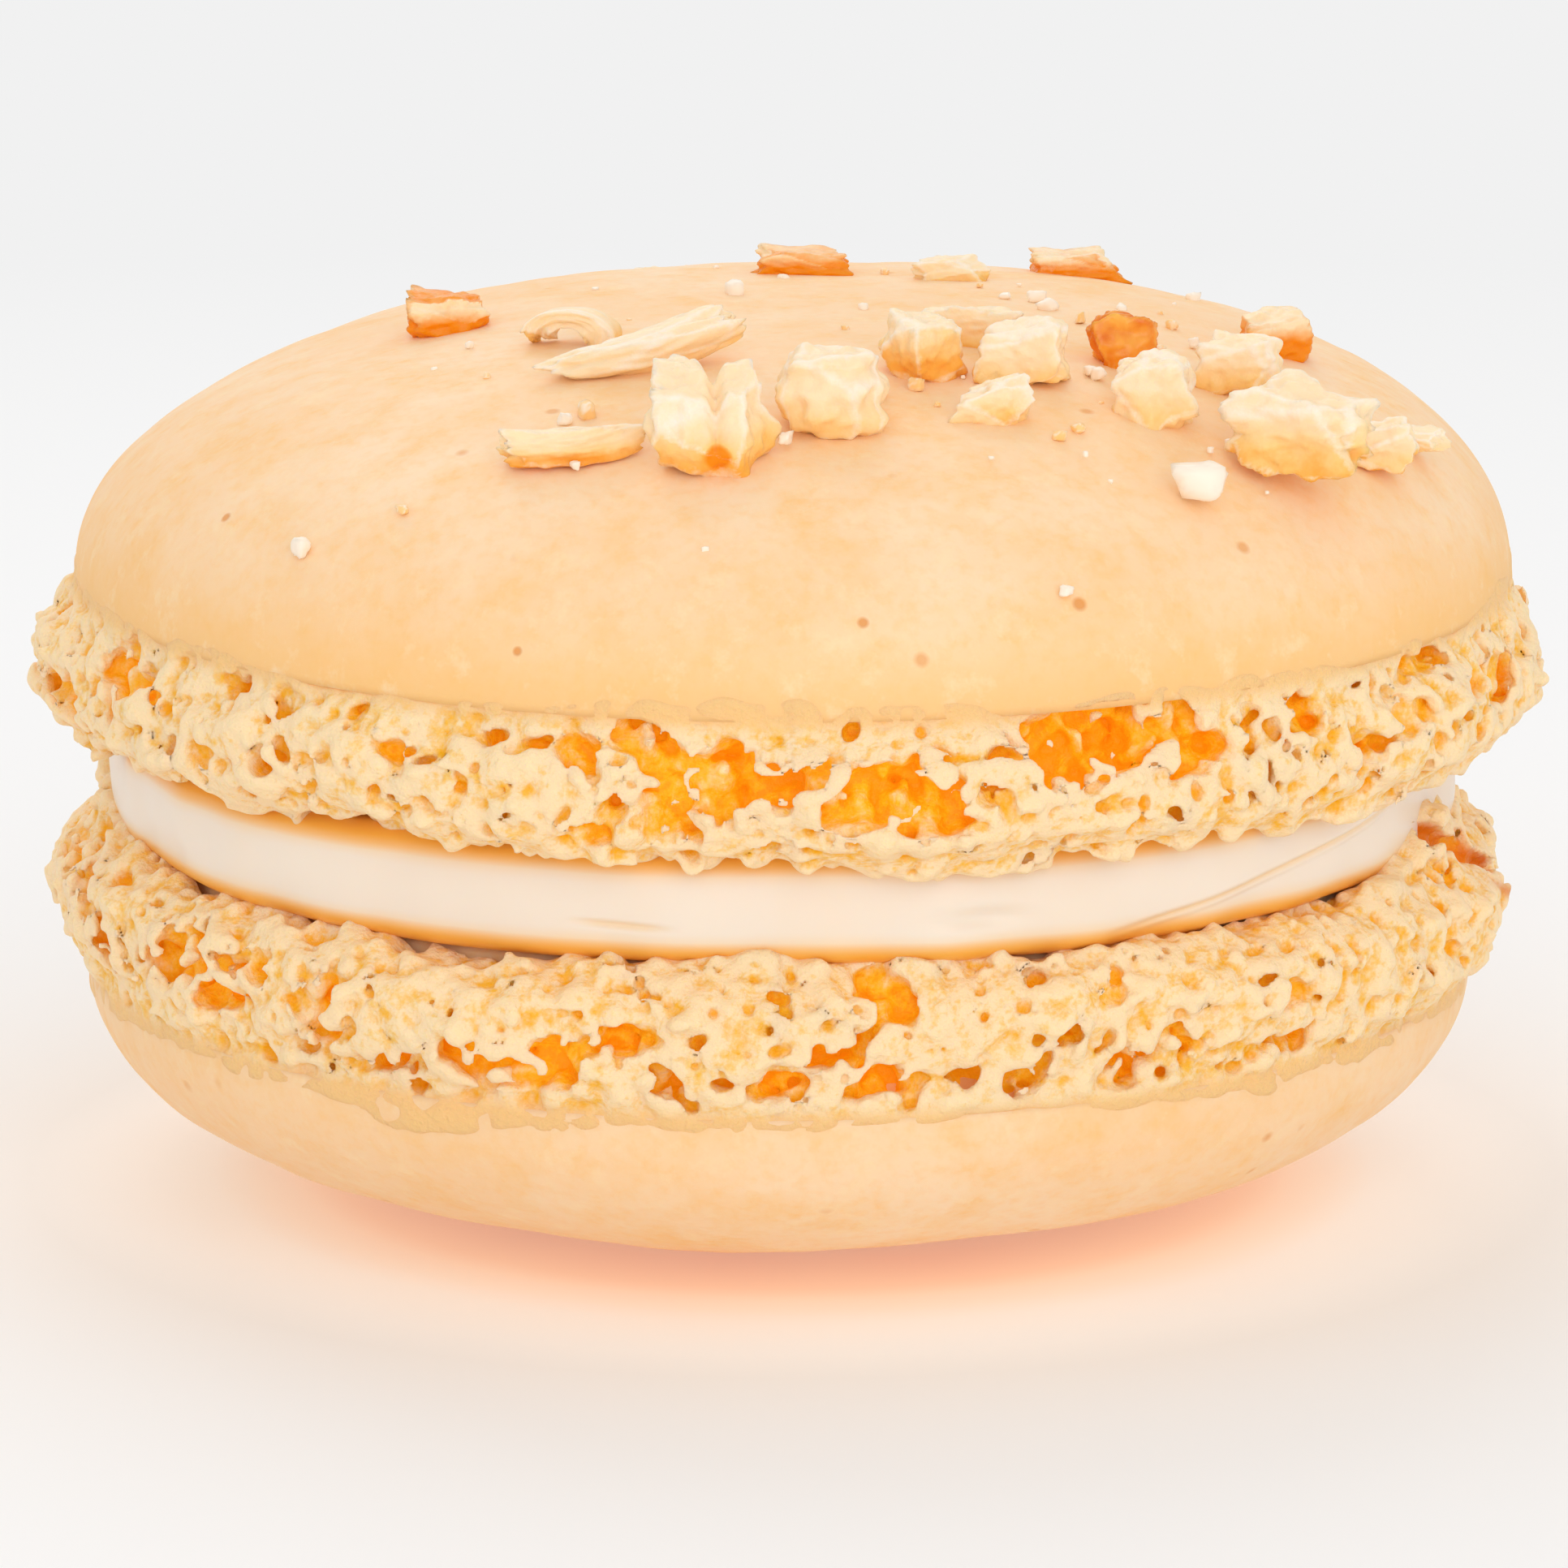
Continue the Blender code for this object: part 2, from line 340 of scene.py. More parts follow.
def surface_net(values: Array) -> tuple[Array, Array]:
    """The zero surface of a field, whose first axis closes on itself.

    Each cell that the surface crosses gets one point, the mean of the crossings on its
    twelve edges. Each grid edge with a change of sign gets one quad, of the points of
    the four cells round it.

    Args:
        values: The field, positive inside.

    Returns:
        The points in grid steps, and the quads.
    """
    count = values.shape[0]
    field_ = np.concatenate((values, values[:1]), axis=0)
    inside = field_ > 0
    corners = list(np.ndindex(2, 2, 2))
    size = [n - 1 for n in field_.shape]

    def shifted(array: Array, corner: tuple[int, ...]) -> Array:
        """The array of one corner of every cell."""
        return array[tuple(slice(c, c + n) for c, n in zip(corner, size))]

    filled = sum(shifted(inside, corner).astype(np.uint8) for corner in corners)
    crossed = (filled > 0) & (filled < 8)
    cell = np.nonzero(crossed)
    number = np.full(size, -1, np.int64)
    number[cell] = np.arange(len(cell[0]))
    at = {corner: shifted(field_, corner)[cell] for corner in corners}
    total = np.zeros((len(cell[0]), 3))
    hits = np.zeros(len(cell[0]))
    for first in corners:
        for axis in range(3):
            if first[axis]:
                continue
            second = tuple(1 if a == axis else v for a, v in enumerate(first))
            f, g = at[first], at[second]
            hit = (f > 0) != (g > 0)
            share = np.where(hit, f / np.where(hit, f - g, 1.0), 0.0)
            place = np.tile(np.array(first, float), (len(f), 1))
            place[:, axis] = share
            total += place * hit[:, None]
            hits += hit
    points = np.stack(cell, axis=1) + total / hits[:, None]

    quads = []
    for axis in range(3):
        others = [a for a in range(3) if a != axis]
        low, high = inside[:count], np.roll(inside[:count], -1, axis=axis)
        change = low != high
        for a in range(1, 3):
            border = [slice(None)] * 3
            border[a] = slice(-1, None)
            change[tuple(border)] = False
            if a != axis:
                border[a] = slice(0, 1)
                change[tuple(border)] = False
        edge = np.stack(np.nonzero(change), axis=1)
        ring = []
        for step in ((1, 1), (0, 1), (0, 0), (1, 0)):
            around = edge.copy()
            for a, s in zip(others, step):
                around[:, a] -= s
            around[:, 0] %= count
            ring.append(number[tuple(around.T)])
        quad = np.stack(ring, axis=1)
        turned = low[tuple(edge.T)] ^ (axis == 1)
        quads.append(np.where(turned[:, None], quad, quad[:, ::-1]))
    return points, np.concatenate(quads)


def blurred(values: Array, reach: int) -> Array:
    """Running mean of a field along each axis in turn; the first axis closes on itself.

    Args:
        values: The field.
        reach: Grid steps either side.

    Returns:
        The field's local mean.
    """
    result = values.astype(np.float32)
    for axis in range(values.ndim):
        mode = "wrap" if axis == 0 else "edge"
        margin = [(reach + 1, reach) if a == axis else (0, 0) for a in range(values.ndim)]
        running = np.cumsum(np.pad(result, margin, mode=mode), axis=axis, dtype=np.float64)
        width = 2 * reach + 1
        ahead = np.take(running, np.arange(width, running.shape[axis]), axis=axis)
        behind = np.take(running, np.arange(running.shape[axis] - width), axis=axis)
        result = ((ahead - behind) / width).astype(np.float32)
    return result


# ---------------------------------------------------------------- shader nodes


class Signal:
    """A shader socket that takes part in Python expressions on values."""

    def __init__(self, tree: bpy.types.NodeTree, socket: bpy.types.NodeSocket) -> None:
        """Wrap a socket.

        Args:
            tree: The node tree that holds it.
            socket: The output socket.
        """
        self.tree = tree
        self.socket = socket

    def _math(self, operation: str, *values: "Signal | float") -> "Signal":
        """Add one Math node.

        Args:
            operation: Its operation.
            values: Its inputs in order.

        Returns:
            Its result.
        """
        node = self.tree.nodes.new("ShaderNodeMath")
        node.operation = operation
        for slot, value in zip(node.inputs, values):
            if isinstance(value, Signal):
                self.tree.links.new(value.socket, slot)
            else:
                slot.default_value = value
        return Signal(self.tree, node.outputs[0])

    def __add__(self, other: "Signal | float") -> "Signal":
        """Sum."""
        return self._math("ADD", self, other)

    __radd__ = __add__

    def __sub__(self, other: "Signal | float") -> "Signal":
        """Difference."""
        return self._math("SUBTRACT", self, other)

    def __rsub__(self, other: float) -> "Signal":
        """Difference from a number."""
        return self._math("SUBTRACT", other, self)

    def __mul__(self, other: "Signal | float") -> "Signal":
        """Product."""
        return self._math("MULTIPLY", self, other)

    __rmul__ = __mul__

    def __truediv__(self, other: "Signal | float") -> "Signal":
        """Quotient."""
        return self._math("DIVIDE", self, other)

    def __pow__(self, other: "Signal | float") -> "Signal":
        """Power."""
        return self._math("POWER", self, other)

    def bounded(self) -> "Signal":
        """The value kept between 0 and 1."""
        return self._math("MINIMUM", self._math("MAXIMUM", self, 0.0), 1.0)

    def above(self, low: float, high: float) -> "Signal":
        """Rise from 0 at low to 1 at high, which may be the smaller.

        Args:
            low: The value that gives 0.
            high: The value that gives 1.

        Returns:
            The bounded rise.
        """
        return ((self - low) / (high - low)).bounded()


class Recipe:
    """The node tree of one finish."""

    def __init__(self, name: str, **shader: float | Colour | tuple) -> None:
        """Start a material with a Principled shader.

        Args:
            name: The material's name.
            shader: Constant inputs of the shader, with _ for each space.
        """
        self.material = bpy.data.materials.new(name)
        self.material.use_nodes = True
        self.tree = self.material.node_tree
        self.tree.nodes.clear()
        self.shader = self.tree.nodes.new("ShaderNodeBsdfPrincipled")
        for label, value in shader.items():
            self.shader.inputs[label.replace("_", " ")].default_value = value
        output = self.tree.nodes.new("ShaderNodeOutputMaterial")
        self.tree.links.new(self.shader.outputs[0], output.inputs["Surface"])

    def node(self, kind: str, settings: dict | None = None, out: str | int = 0, **inputs) -> Signal:
        """Add any other node.

        Args:
            kind: The node's type, without its ShaderNode prefix.
            settings: Its settings, and a ramp's stops under "stops".
            out: The output wanted.
            inputs: Values or signals of its sockets, with _ for each space.

        Returns:
            The chosen output.
        """
        node = self.tree.nodes.new("ShaderNode" + kind)
        for label, value in (settings or {}).items():
            if label == "stops":
                elements = node.color_ramp.elements
                while len(elements) < len(value):
                    elements.new(0.5)
                for element, (place, colour) in zip(elements, value):
                    element.position, element.color = place, colour
            else:
                setattr(node, label, value)
        for label, value in inputs.items():
            socket = next(s for s in node.inputs if s.enabled and s.name == label.replace("_", " "))
            if isinstance(value, Signal):
                self.tree.links.new(value.socket, socket)
            else:
                socket.default_value = value
        return Signal(self.tree, node.outputs[out])

    def place(self) -> Signal:
        """Object coordinates in metres."""
        return self.node("TexCoord", out="Object")

    def carried(self, name: str) -> Signal:
        """An attribute of the mesh."""
        return self.node("Attribute", {"attribute_name": name}, out="Fac")

    def noise(self, size: float, detail: float = 2.0, roughness: float = 0.5, where: Signal | None = None) -> Signal:
        """Noise on Object coordinates, mostly 0.3 to 0.7.

        Args:
            size: The size of its largest lumps in millimetres.
            detail: Finer layers added.
            roughness: Strength of the finer layers.
            where: Other coordinates, if wanted.

        Returns:
            The noise.
        """
        return self.node(
            "TexNoise",
            out="Fac",
            Vector=where or self.place(),
            Scale=1.0 / (size * MM),
            Detail=detail,
            Roughness=roughness,
        )

    def cells(self, size: float, feature: str = "F1", out: str = "Distance") -> Signal:
        """Distance to the nearest of scattered points, in cells.

        Args:
            size: Their spacing in millimetres.
            feature: The Voronoi feature.
            out: The output wanted.

        Returns:
            The distance.
        """
        return self.node("TexVoronoi", {"feature": feature}, out=out, Vector=self.place(), Scale=1.0 / (size * MM))

    def blend(self, share: Signal | float, first: Signal | Colour, second: Signal | Colour) -> Signal:
        """Mix two colours.

        Args:
            share: The second colour's share.
            first: The colour at 0.
            second: The colour at 1.

        Returns:
            The mixed colour.
        """
        node = self.tree.nodes.new("ShaderNodeMix")
        node.data_type = "RGBA"
        for index, value in ((0, share), (6, first), (7, second)):
            if isinstance(value, Signal):
                self.tree.links.new(value.socket, node.inputs[index])
            else:
                node.inputs[index].default_value = value
        return Signal(self.tree, node.outputs[2])

    def ramp(self, value: Signal, *stops: tuple[float, Colour]) -> Signal:
        """Colours along a value."""
        return self.node("ValToRGB", {"stops": stops}, Fac=value)

    def bump(self, height: Signal, depth: float, strength: float = 1.0) -> None:
        """Feed a height to the shader's normal.

        Args:
            height: The height, 0 to 1.
            depth: The full height in millimetres.
            strength: The bump's strength.
        """
        result = self.node("Bump", out="Normal", Height=height, Distance=depth * MM, Strength=strength)
        self.tree.links.new(result.socket, self.shader.inputs["Normal"])

    def feed(self, **sockets: Signal) -> bpy.types.Material:
        """Link signals to the shader's varying inputs.

        Args:
            sockets: Signals by input name, with _ for each space.

        Returns:
            The finished material.
        """
        for label, value in sockets.items():
            self.tree.links.new(value.socket, self.shader.inputs[label.replace("_", " ")])
        return self.material


# ---------------------------------------------------------------- finishes


@dataclass(frozen=True)
class Baked:
    """Colours of the two meringue shells."""

    skin: Colour = srgb(253, 211, 164)
    skin_pale: Colour = srgb(254, 222, 184)
    skin_warm: Colour = srgb(252, 196, 122)
    rim: Colour = srgb(252, 196, 122)
    # speck: the skin's own specks, and painted shade inside the pinholes.
    speck: Colour = srgb(226, 140, 48)
    ridge: Colour = srgb(255, 222, 176)
    crumb: Colour = srgb(253, 204, 128)
    # golden, orange and deep colour the foot's pores, crevices and hollows: partly painted shade and light through the
    # crumb, partly its own tone.
    golden: Colour = srgb(253, 190, 70)
    orange: Colour = srgb(252, 182, 16)
    deep: Colour = srgb(244, 152, 4)
    # Darker brown for the streaks along the crease under the lower foot's fold.
    browned: Colour = srgb(222, 112, 4)

    def cap(self, name: str, warmth: float, pinholes: tuple["Pinhole", ...]) -> bpy.types.Material:
        """The smooth skin, with soft mottling, a warmer rim and a few pinholes darkened as painted shade.

        Args:
            name: The material's name.
            warmth: How warm the rim is, 0 to 1.
            pinholes: Named pinholes, added to the scattered ones.

        Returns:
            The material.
        """
        mix = Recipe(
            name,
            Roughness=0.62,
            IOR=1.45,
            Subsurface_Weight=0.12,
            Subsurface_Radius=(1.0, 0.45, 0.15),
            Subsurface_Scale=0.002,
        )
        rim = mix.carried("rim")
        cloud = mix.noise(7.0, 3.0, 0.55)
        patch = mix.noise(2.2, 3.0, 0.6)
        grain = mix.noise(0.45, 3.0, 0.6)
        colour = mix.blend(cloud.above(0.42, 0.66) * 0.8, self.skin, self.skin_pale)
        warm = patch.above(0.46, 0.7) * 0.5 + grain.above(0.45, 0.75) * 0.4
        colour = mix.blend(warm.bounded(), colour, self.skin_warm)
        colour = mix.blend((rim * warmth).bounded(), colour, self.rim)
        dust = mix.noise(1.3, 4.0, 0.7).above(0.55, 0.7) * 0.55
        colour = mix.blend(dust, colour, self.ridge)
        speck = mix.cells(2.6).above(0.11, 0.05) * mix.noise(3.1, 1.0).above(0.48, 0.56)
        pits = speck * 0.7
        # Pinholes take the speck colour as painted shade inside each hole; the scattered specks are the skin's own
        # colour.
        for hole in pinholes:
            away = mix.node(
                "VectorMath",
                {"operation": "DISTANCE"},
                out="Value",
                Vector=mix.place(),
            )
            away.socket.node.inputs[1].default_value = [v * MM for v in hole.place]
            pits = pits + away.above(hole.width * MM * 0.7, hole.width * MM * 0.35)
        pits = pits.bounded()
        colour = mix.blend(pits * 0.75, colour, self.speck)
        height = grain * 0.5 + patch * 0.35 + mix.noise(0.16, 2.0) * 0.25 - pits * 1.2
        mix.bump(height, 0.05, 0.6)
        rough = 0.55 + patch * 0.2
        return mix.feed(Base_Color=colour, Roughness=rough)

    def foot(self, name: str) -> bpy.types.Material:
        """Open crumb with painted shade and painted glow: pale ridges, golden pores and orange hollows.

        Args:
            name: The material's name.

        Returns:
            The material.
        """
        mix = Recipe(
            name,
            Roughness=0.5,
            IOR=1.45,
            Subsurface_Weight=0.2,
            Subsurface_Radius=(1.0, 0.45, 0.12),
            Subsurface_Scale=0.003,
            # Painted glow: the emission lights the hollows orange, in place of light passing through the thin crumb.
            Emission_Strength=0.2,
            Specular_IOR_Level=0.3,
        )
        hollow, crowd = mix.carried("hollow"), mix.carried("crowd")
        patch = mix.noise(1.6, 3.0, 0.6)
        fine = mix.noise(0.3, 3.0, 0.6)
        # Painted shade and painted light through the crumb: colour runs from pale ridges to deep orange with hollow
        # depth and crevices; the noise layers are the crumb's own tone.
        depth = (0.1 + hollow * 0.5 + (crowd - 0.52) * 1.3 + (patch - 0.5) * 1.0 + (fine - 0.5) * 1.3).bounded()
        colour = mix.ramp(
            depth,
            (0.0, self.ridge),
            (0.26, self.crumb),
            (0.48, self.golden),
            (0.68, self.orange),
            (1.0, self.deep),
        )
        colour = mix.blend(mix.carried("skin"), colour, mix.blend(0.75, self.skin, self.rim))
        colour = mix.blend(mix.carried("brown"), colour, self.browned)
        mix.bump(fine * 0.7 + mix.noise(0.14, 2.0) * 0.3, 0.17, 0.8)
        # Painted glow in the hollows, deeper hollows glowing more.
        glow = mix.blend((hollow * 0.9 - 0.25).bounded(), (0.0, 0.0, 0.0, 1.0), self.orange)
        return mix.feed(Base_Color=colour, Roughness=0.42 + patch * 0.25, Emission_Color=glow)


@dataclass(frozen=True)
class Creamy:
    """Colours of the cream filling."""

    cream: Colour = srgb(244, 228, 210)
    # warm and deep also serve as painted shade at the edges and in the groove and slit.
    warm: Colour = srgb(252, 208, 146)
    deep: Colour = srgb(250, 176, 70)

    def material(self, name: str) -> bpy.types.Material:
        """Satin cream, warmer where it meets the shells, as painted orange-tinted shade under the feet.

        Args:
            name: The material's name.

        Returns:
            The material.
        """
        mix = Recipe(
            name,
            Roughness=0.32,
            IOR=1.46,
            Subsurface_Weight=0.18,
            Subsurface_Radius=(1.0, 0.6, 0.35),
            Subsurface_Scale=0.003,
        )
        edge = mix.carried("edge")
        cloud = mix.noise(4.0, 2.0)
        # Painted shade: the bands by the shells (edge) go warm, then deep orange; the cloud noise is the cream's own
        # tone.
        colour = mix.blend((edge * 0.9 + (cloud - 0.5) * 0.4).bounded(), self.cream, self.warm)
        colour = mix.blend((edge * 1.7 - 0.7).bounded(), colour, self.deep)
        # Painted shade in the groove of the second layer and in the slit (fold).
        colour = mix.blend(mix.carried("fold"), colour, self.warm)
        mix.bump(mix.noise(1.4, 2.0), 0.06, 0.35)
        return mix.feed(Base_Color=colour, Roughness=0.24 + cloud * 0.25)


@dataclass(frozen=True)
class Nutty:
    """Colours of the chopped nuts."""

    frost: Colour = srgb(255, 240, 220)
    kernel: Colour = srgb(255, 226, 184)
    golden: Colour = srgb(255, 198, 96)
    amber: Colour = srgb(247, 142, 0)
    skin_dark: Colour = srgb(226, 108, 0)

    def kernel_of(self, name: str, gold: float, ambered: float) -> bpy.types.Material:
        """A chopped kernel, frosty at its broken edges and golden beneath as painted shade.

        Args:
            name: The material's name.
            gold: How far the golden painted shade climbs from the underside, 0 to 1.
            ambered: Share of the body that is amber, 0 to 1.

        Returns:
            The material.
        """
        mix = Recipe(
            name,
            Roughness=0.45,
            IOR=1.47,
            Specular_IOR_Level=0.3,
            Subsurface_Weight=0.15,
            Subsurface_Radius=(1.0, 0.5, 0.15),
            Subsurface_Scale=0.0015,
        )
        edge, low, facet = mix.carried("edge"), mix.carried("low"), mix.carried("facet")
        patch = mix.noise(1.1, 3.0, 0.6)
        fine = mix.noise(0.22, 3.0, 0.65)
        # Painted shade: low (the underside) warms to golden and amber and keeps off the frost; patches and facets are
        # the kernel's own tone.
        warm = (low * 1.1 + (patch - 0.5) * 0.9 + facet * 0.35 + gold - 0.65).bounded()
        colour = mix.blend(warm, self.kernel, self.golden)
        colour = mix.blend((warm * 1.5 - 1.1 + ambered * 1.4).bounded(), colour, self.amber)
        # Painted shade in the cleft's groove, where low runs past 1.
        colour = mix.blend(low.above(1.05, 1.35), colour, self.amber)
        frost = (edge * 0.85 + (fine - 0.5) * 1.1 - low * 0.45 - ambered * 0.7).bounded()
        colour = mix.blend(frost, colour, self.frost)
        mix.bump(fine * 0.5 + patch * 0.5, 0.09, 0.7)
        return mix.feed(Base_Color=colour, Roughness=0.3 + frost * 0.35)

    def crumb_of(self, name: str, colour: Colour) -> bpy.types.Material:
        """A small crumb of one colour, frosty where it broke.

        Args:
            name: The material's name.
            colour: Its colour.

        Returns:
            The material.
        """
        mix = Recipe(name, Roughness=0.4, IOR=1.47)
        share = mix.carried("edge") * 0.6 + mix.noise(0.5, 2.0) * 0.5
        return mix.feed(Base_Color=mix.blend(share.bounded(), colour, self.frost), Roughness=0.3 + share * 0.3)

    def amber_of(self, name: str) -> bpy.types.Material:
        """A piece of glossy amber skin.

        Args:
            name: The material's name.

        Returns:
            The material.
        """
        mix = Recipe(
            name,
            Roughness=0.22,
            IOR=1.5,
            Specular_IOR_Level=0.25,
            Coat_Weight=0.2,
            Coat_Roughness=0.1,
            Subsurface_Weight=0.15,
            Subsurface_Radius=(1.0, 0.35, 0.05),
            Subsurface_Scale=0.0015,
        )
        patch, fine = mix.noise(1.3, 3.0), mix.noise(0.3, 2.0)
        # Painted shade: more amber towards the underside (low); the patches are the skin's own tone.
        colour = mix.blend((patch + mix.carried("low") * 0.5).bounded(), self.golden, self.amber)
        colour = mix.blend(patch.above(0.42, 0.6) * 0.8, colour, self.skin_dark)
        colour = mix.blend((mix.carried("edge") * 0.4).bounded(), colour, self.golden)
        mix.bump(fine * 0.5 + patch * 0.5, 0.05, 0.4)
        return mix.feed(Base_Color=colour, Roughness=0.16 + fine * 0.2)


# ---------------------------------------------------------------- shells


@dataclass(frozen=True)
class Pinhole:
    """A pinhole in a shell's skin: its place in the frame and its width."""

    place: tuple[float, float, float]
    width: float


@dataclass(frozen=True)
class Lobe:
    """A bulge of a foot: its angle, its reach in degrees, how far it stands out and how
    far it comes over the filling."""

    angle: float
    reach: float
    out: float
    rise: float = 0.0
    level: float = 0.5
    tall: float = 0.5


@dataclass(frozen=True)
class Hollow:
    """A torn hollow in a foot: its angle and depth under the rim, then its size."""

    angle: float
    under_rim: float
    width: float
    tall: float
    deep: float = 1.7


@dataclass
class Dome:
    """A shell's smooth cap, over the rounded ring that carries its foot.

    The outline is a superellipse: distance out over the radius, to the shoulder power,
    plus height over the full height, to the crown power, is 1.
    """

    node: str
    axis_x: float
    rim_z: float
    base_z: float
    radius: float
    rise: float
    up: float
    seed: int
    shoulder: float = 2.8
    crown: float = 2.2
    tilt: float = 0.0
    core: float = 20.6
    columns: int = 480
    rows: int = 150

    def radius_at(self, height: Array) -> Array:
        """Radius of the cap at a height over its rim."""
        share = np.clip(height / self.rise, 0.0, 1.0)
        return self.radius * (1.0 - share**self.crown) ** (1.0 / self.shoulder)

    def height_at(self, reach: Array) -> Array:
        """Height of the cap over its rim at a distance from the axis."""
        share = np.clip(reach / self.radius, 0.0, 1.0)
        return self.rise * (1.0 - share**self.shoulder) ** (1.0 / self.crown)

    def relief(self, x: Array, y: Array) -> Array:
        """Slow waves and faint dimples of the skin, in millimetres.

        Args:
            x: Places across, from the axis.
            y: Places along, from the axis.

        Returns:
            The height to add.
        """
        spots = np.stack((x, y), axis=-1).reshape(-1, 2) + 60.0
        waves = 0.07 * noise_at(spots, 6.5, self.seed) + 0.022 * noise_at(spots, 1.9, self.seed + 1)
        return (waves + 0.01 * noise_at(spots, 0.8, self.seed + 2)).reshape(np.shape(x))

    def surface(self, angle: Array, a: Array) -> tuple[Array, Array, Array]:
        """The skin at angles round and angles up the superellipse, 0 at the rim.

        Args:
            angle: Angles round the axis.
            a: Angles up, to a quarter turn at the crown.

        Returns:
            Places x, y and z in the frame.
        """
        reach = self.radius * np.maximum(np.cos(a), 0.0) ** (2.0 / self.shoulder)
        height = self.rise * np.sin(a) ** (2.0 / self.crown)
        x, y = reach * np.sin(angle), -reach * np.cos(angle)
        share = height / self.rise
        height = height + self.relief(x, y) * smooth(share * 3.0) + self.tilt * x * share
        if self.up < 0.0:
            height = np.minimum(height, self.rise)
        return self.axis_x + x, y, self.rim_z + self.up * height

    def skin(self) -> Skin:
        """The closed surface: crown, skin, rim, the hidden ring and the base.

        Returns:
            The surface, laid out for its map as a disc about the crown.
        """
        angle = np.arange(self.columns) / self.columns * FULL_TURN
        climb = (np.linspace(0.0, 1.0, self.rows) ** 0.85)[::-1] * math.pi / 2
        grid_a, grid_t = np.meshgrid(climb[1:], angle, indexing="ij")
        x, y, z = self.surface(grid_t, grid_a)
        tall = abs(self.rim_z - self.base_z)
        inner_r = [self.core + 0.9, self.core, self.core, self.core - 0.6, self.core * 0.5]
        inner_h = [-0.25, -1.1, 0.4 - tall, 0.1 - tall, 0.1 - tall]
        ring_x = self.axis_x + np.outer(inner_r, np.sin(angle))
        ring_y = -np.outer(inner_r, np.cos(angle))
        ring_z = np.repeat(self.rim_z + self.up * np.array(inner_h)[:, None], self.columns, axis=1)
        points = np.concatenate(
            [
                np.stack(
                    (np.vstack((x, ring_x)), np.vstack((y, ring_y)), np.vstack((z, ring_z))), axis=-1
                ).reshape(-1, 3),
                [[self.axis_x, 0.0, self.rim_z + self.up * self.rise], [self.axis_x, 0.0, self.base_z + self.up * 0.1]],
            ]
        )
        rows = len(climb) - 1 + len(inner_r)
        faces = grid_faces(rows, self.columns, False, True)
        crown, foot = len(points) - 2, len(points) - 1
        here = np.arange(self.columns)
        there = (here + 1) % self.columns
        last = (rows - 1) * self.columns
        poles = np.concatenate(
            (
                np.stack((np.full(self.columns, crown),) * 2 + (there, here), axis=1),
                np.stack((np.full(self.columns, foot),) * 2 + (last + here, last + there), axis=1),
            )
        )
        faces = np.concatenate((faces, poles))
        away = np.hypot(points[:, 0] - self.axis_x, points[:, 1])
        ring = np.concatenate((np.repeat(np.arange(1, rows + 1), self.columns), [0, rows + 1]))
        spread = np.minimum(ring / (len(climb) - 1), 1.0) * 0.44 + np.maximum(ring - len(climb) + 1, 0) * 0.009
        bearing = np.arctan2(points[:, 0] - self.axis_x, -points[:, 1])
        flat_map = np.stack((0.5 + spread * np.sin(bearing), 0.5 - spread * np.cos(bearing)), axis=1)
        level = np.abs(points[:, 2] - self.rim_z)
        rim = np.where(away > self.radius * 0.6, np.exp(-((level / 2.2) ** 2)), 0.0)
        return Skin(points, faces, {"rim": rim}, flat_map[faces]).turned_outward()

    def build(self, piece: str, finish: bpy.types.Material) -> bpy.types.Object:
        """Make the cap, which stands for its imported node.

        Args:
            piece: The piece's name.
            finish: Its finish.

        Returns:
            The piece.
        """
        cap = self.skin().make(piece, finish)
        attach(cap, BODY)
        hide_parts(self.node)
        return cap


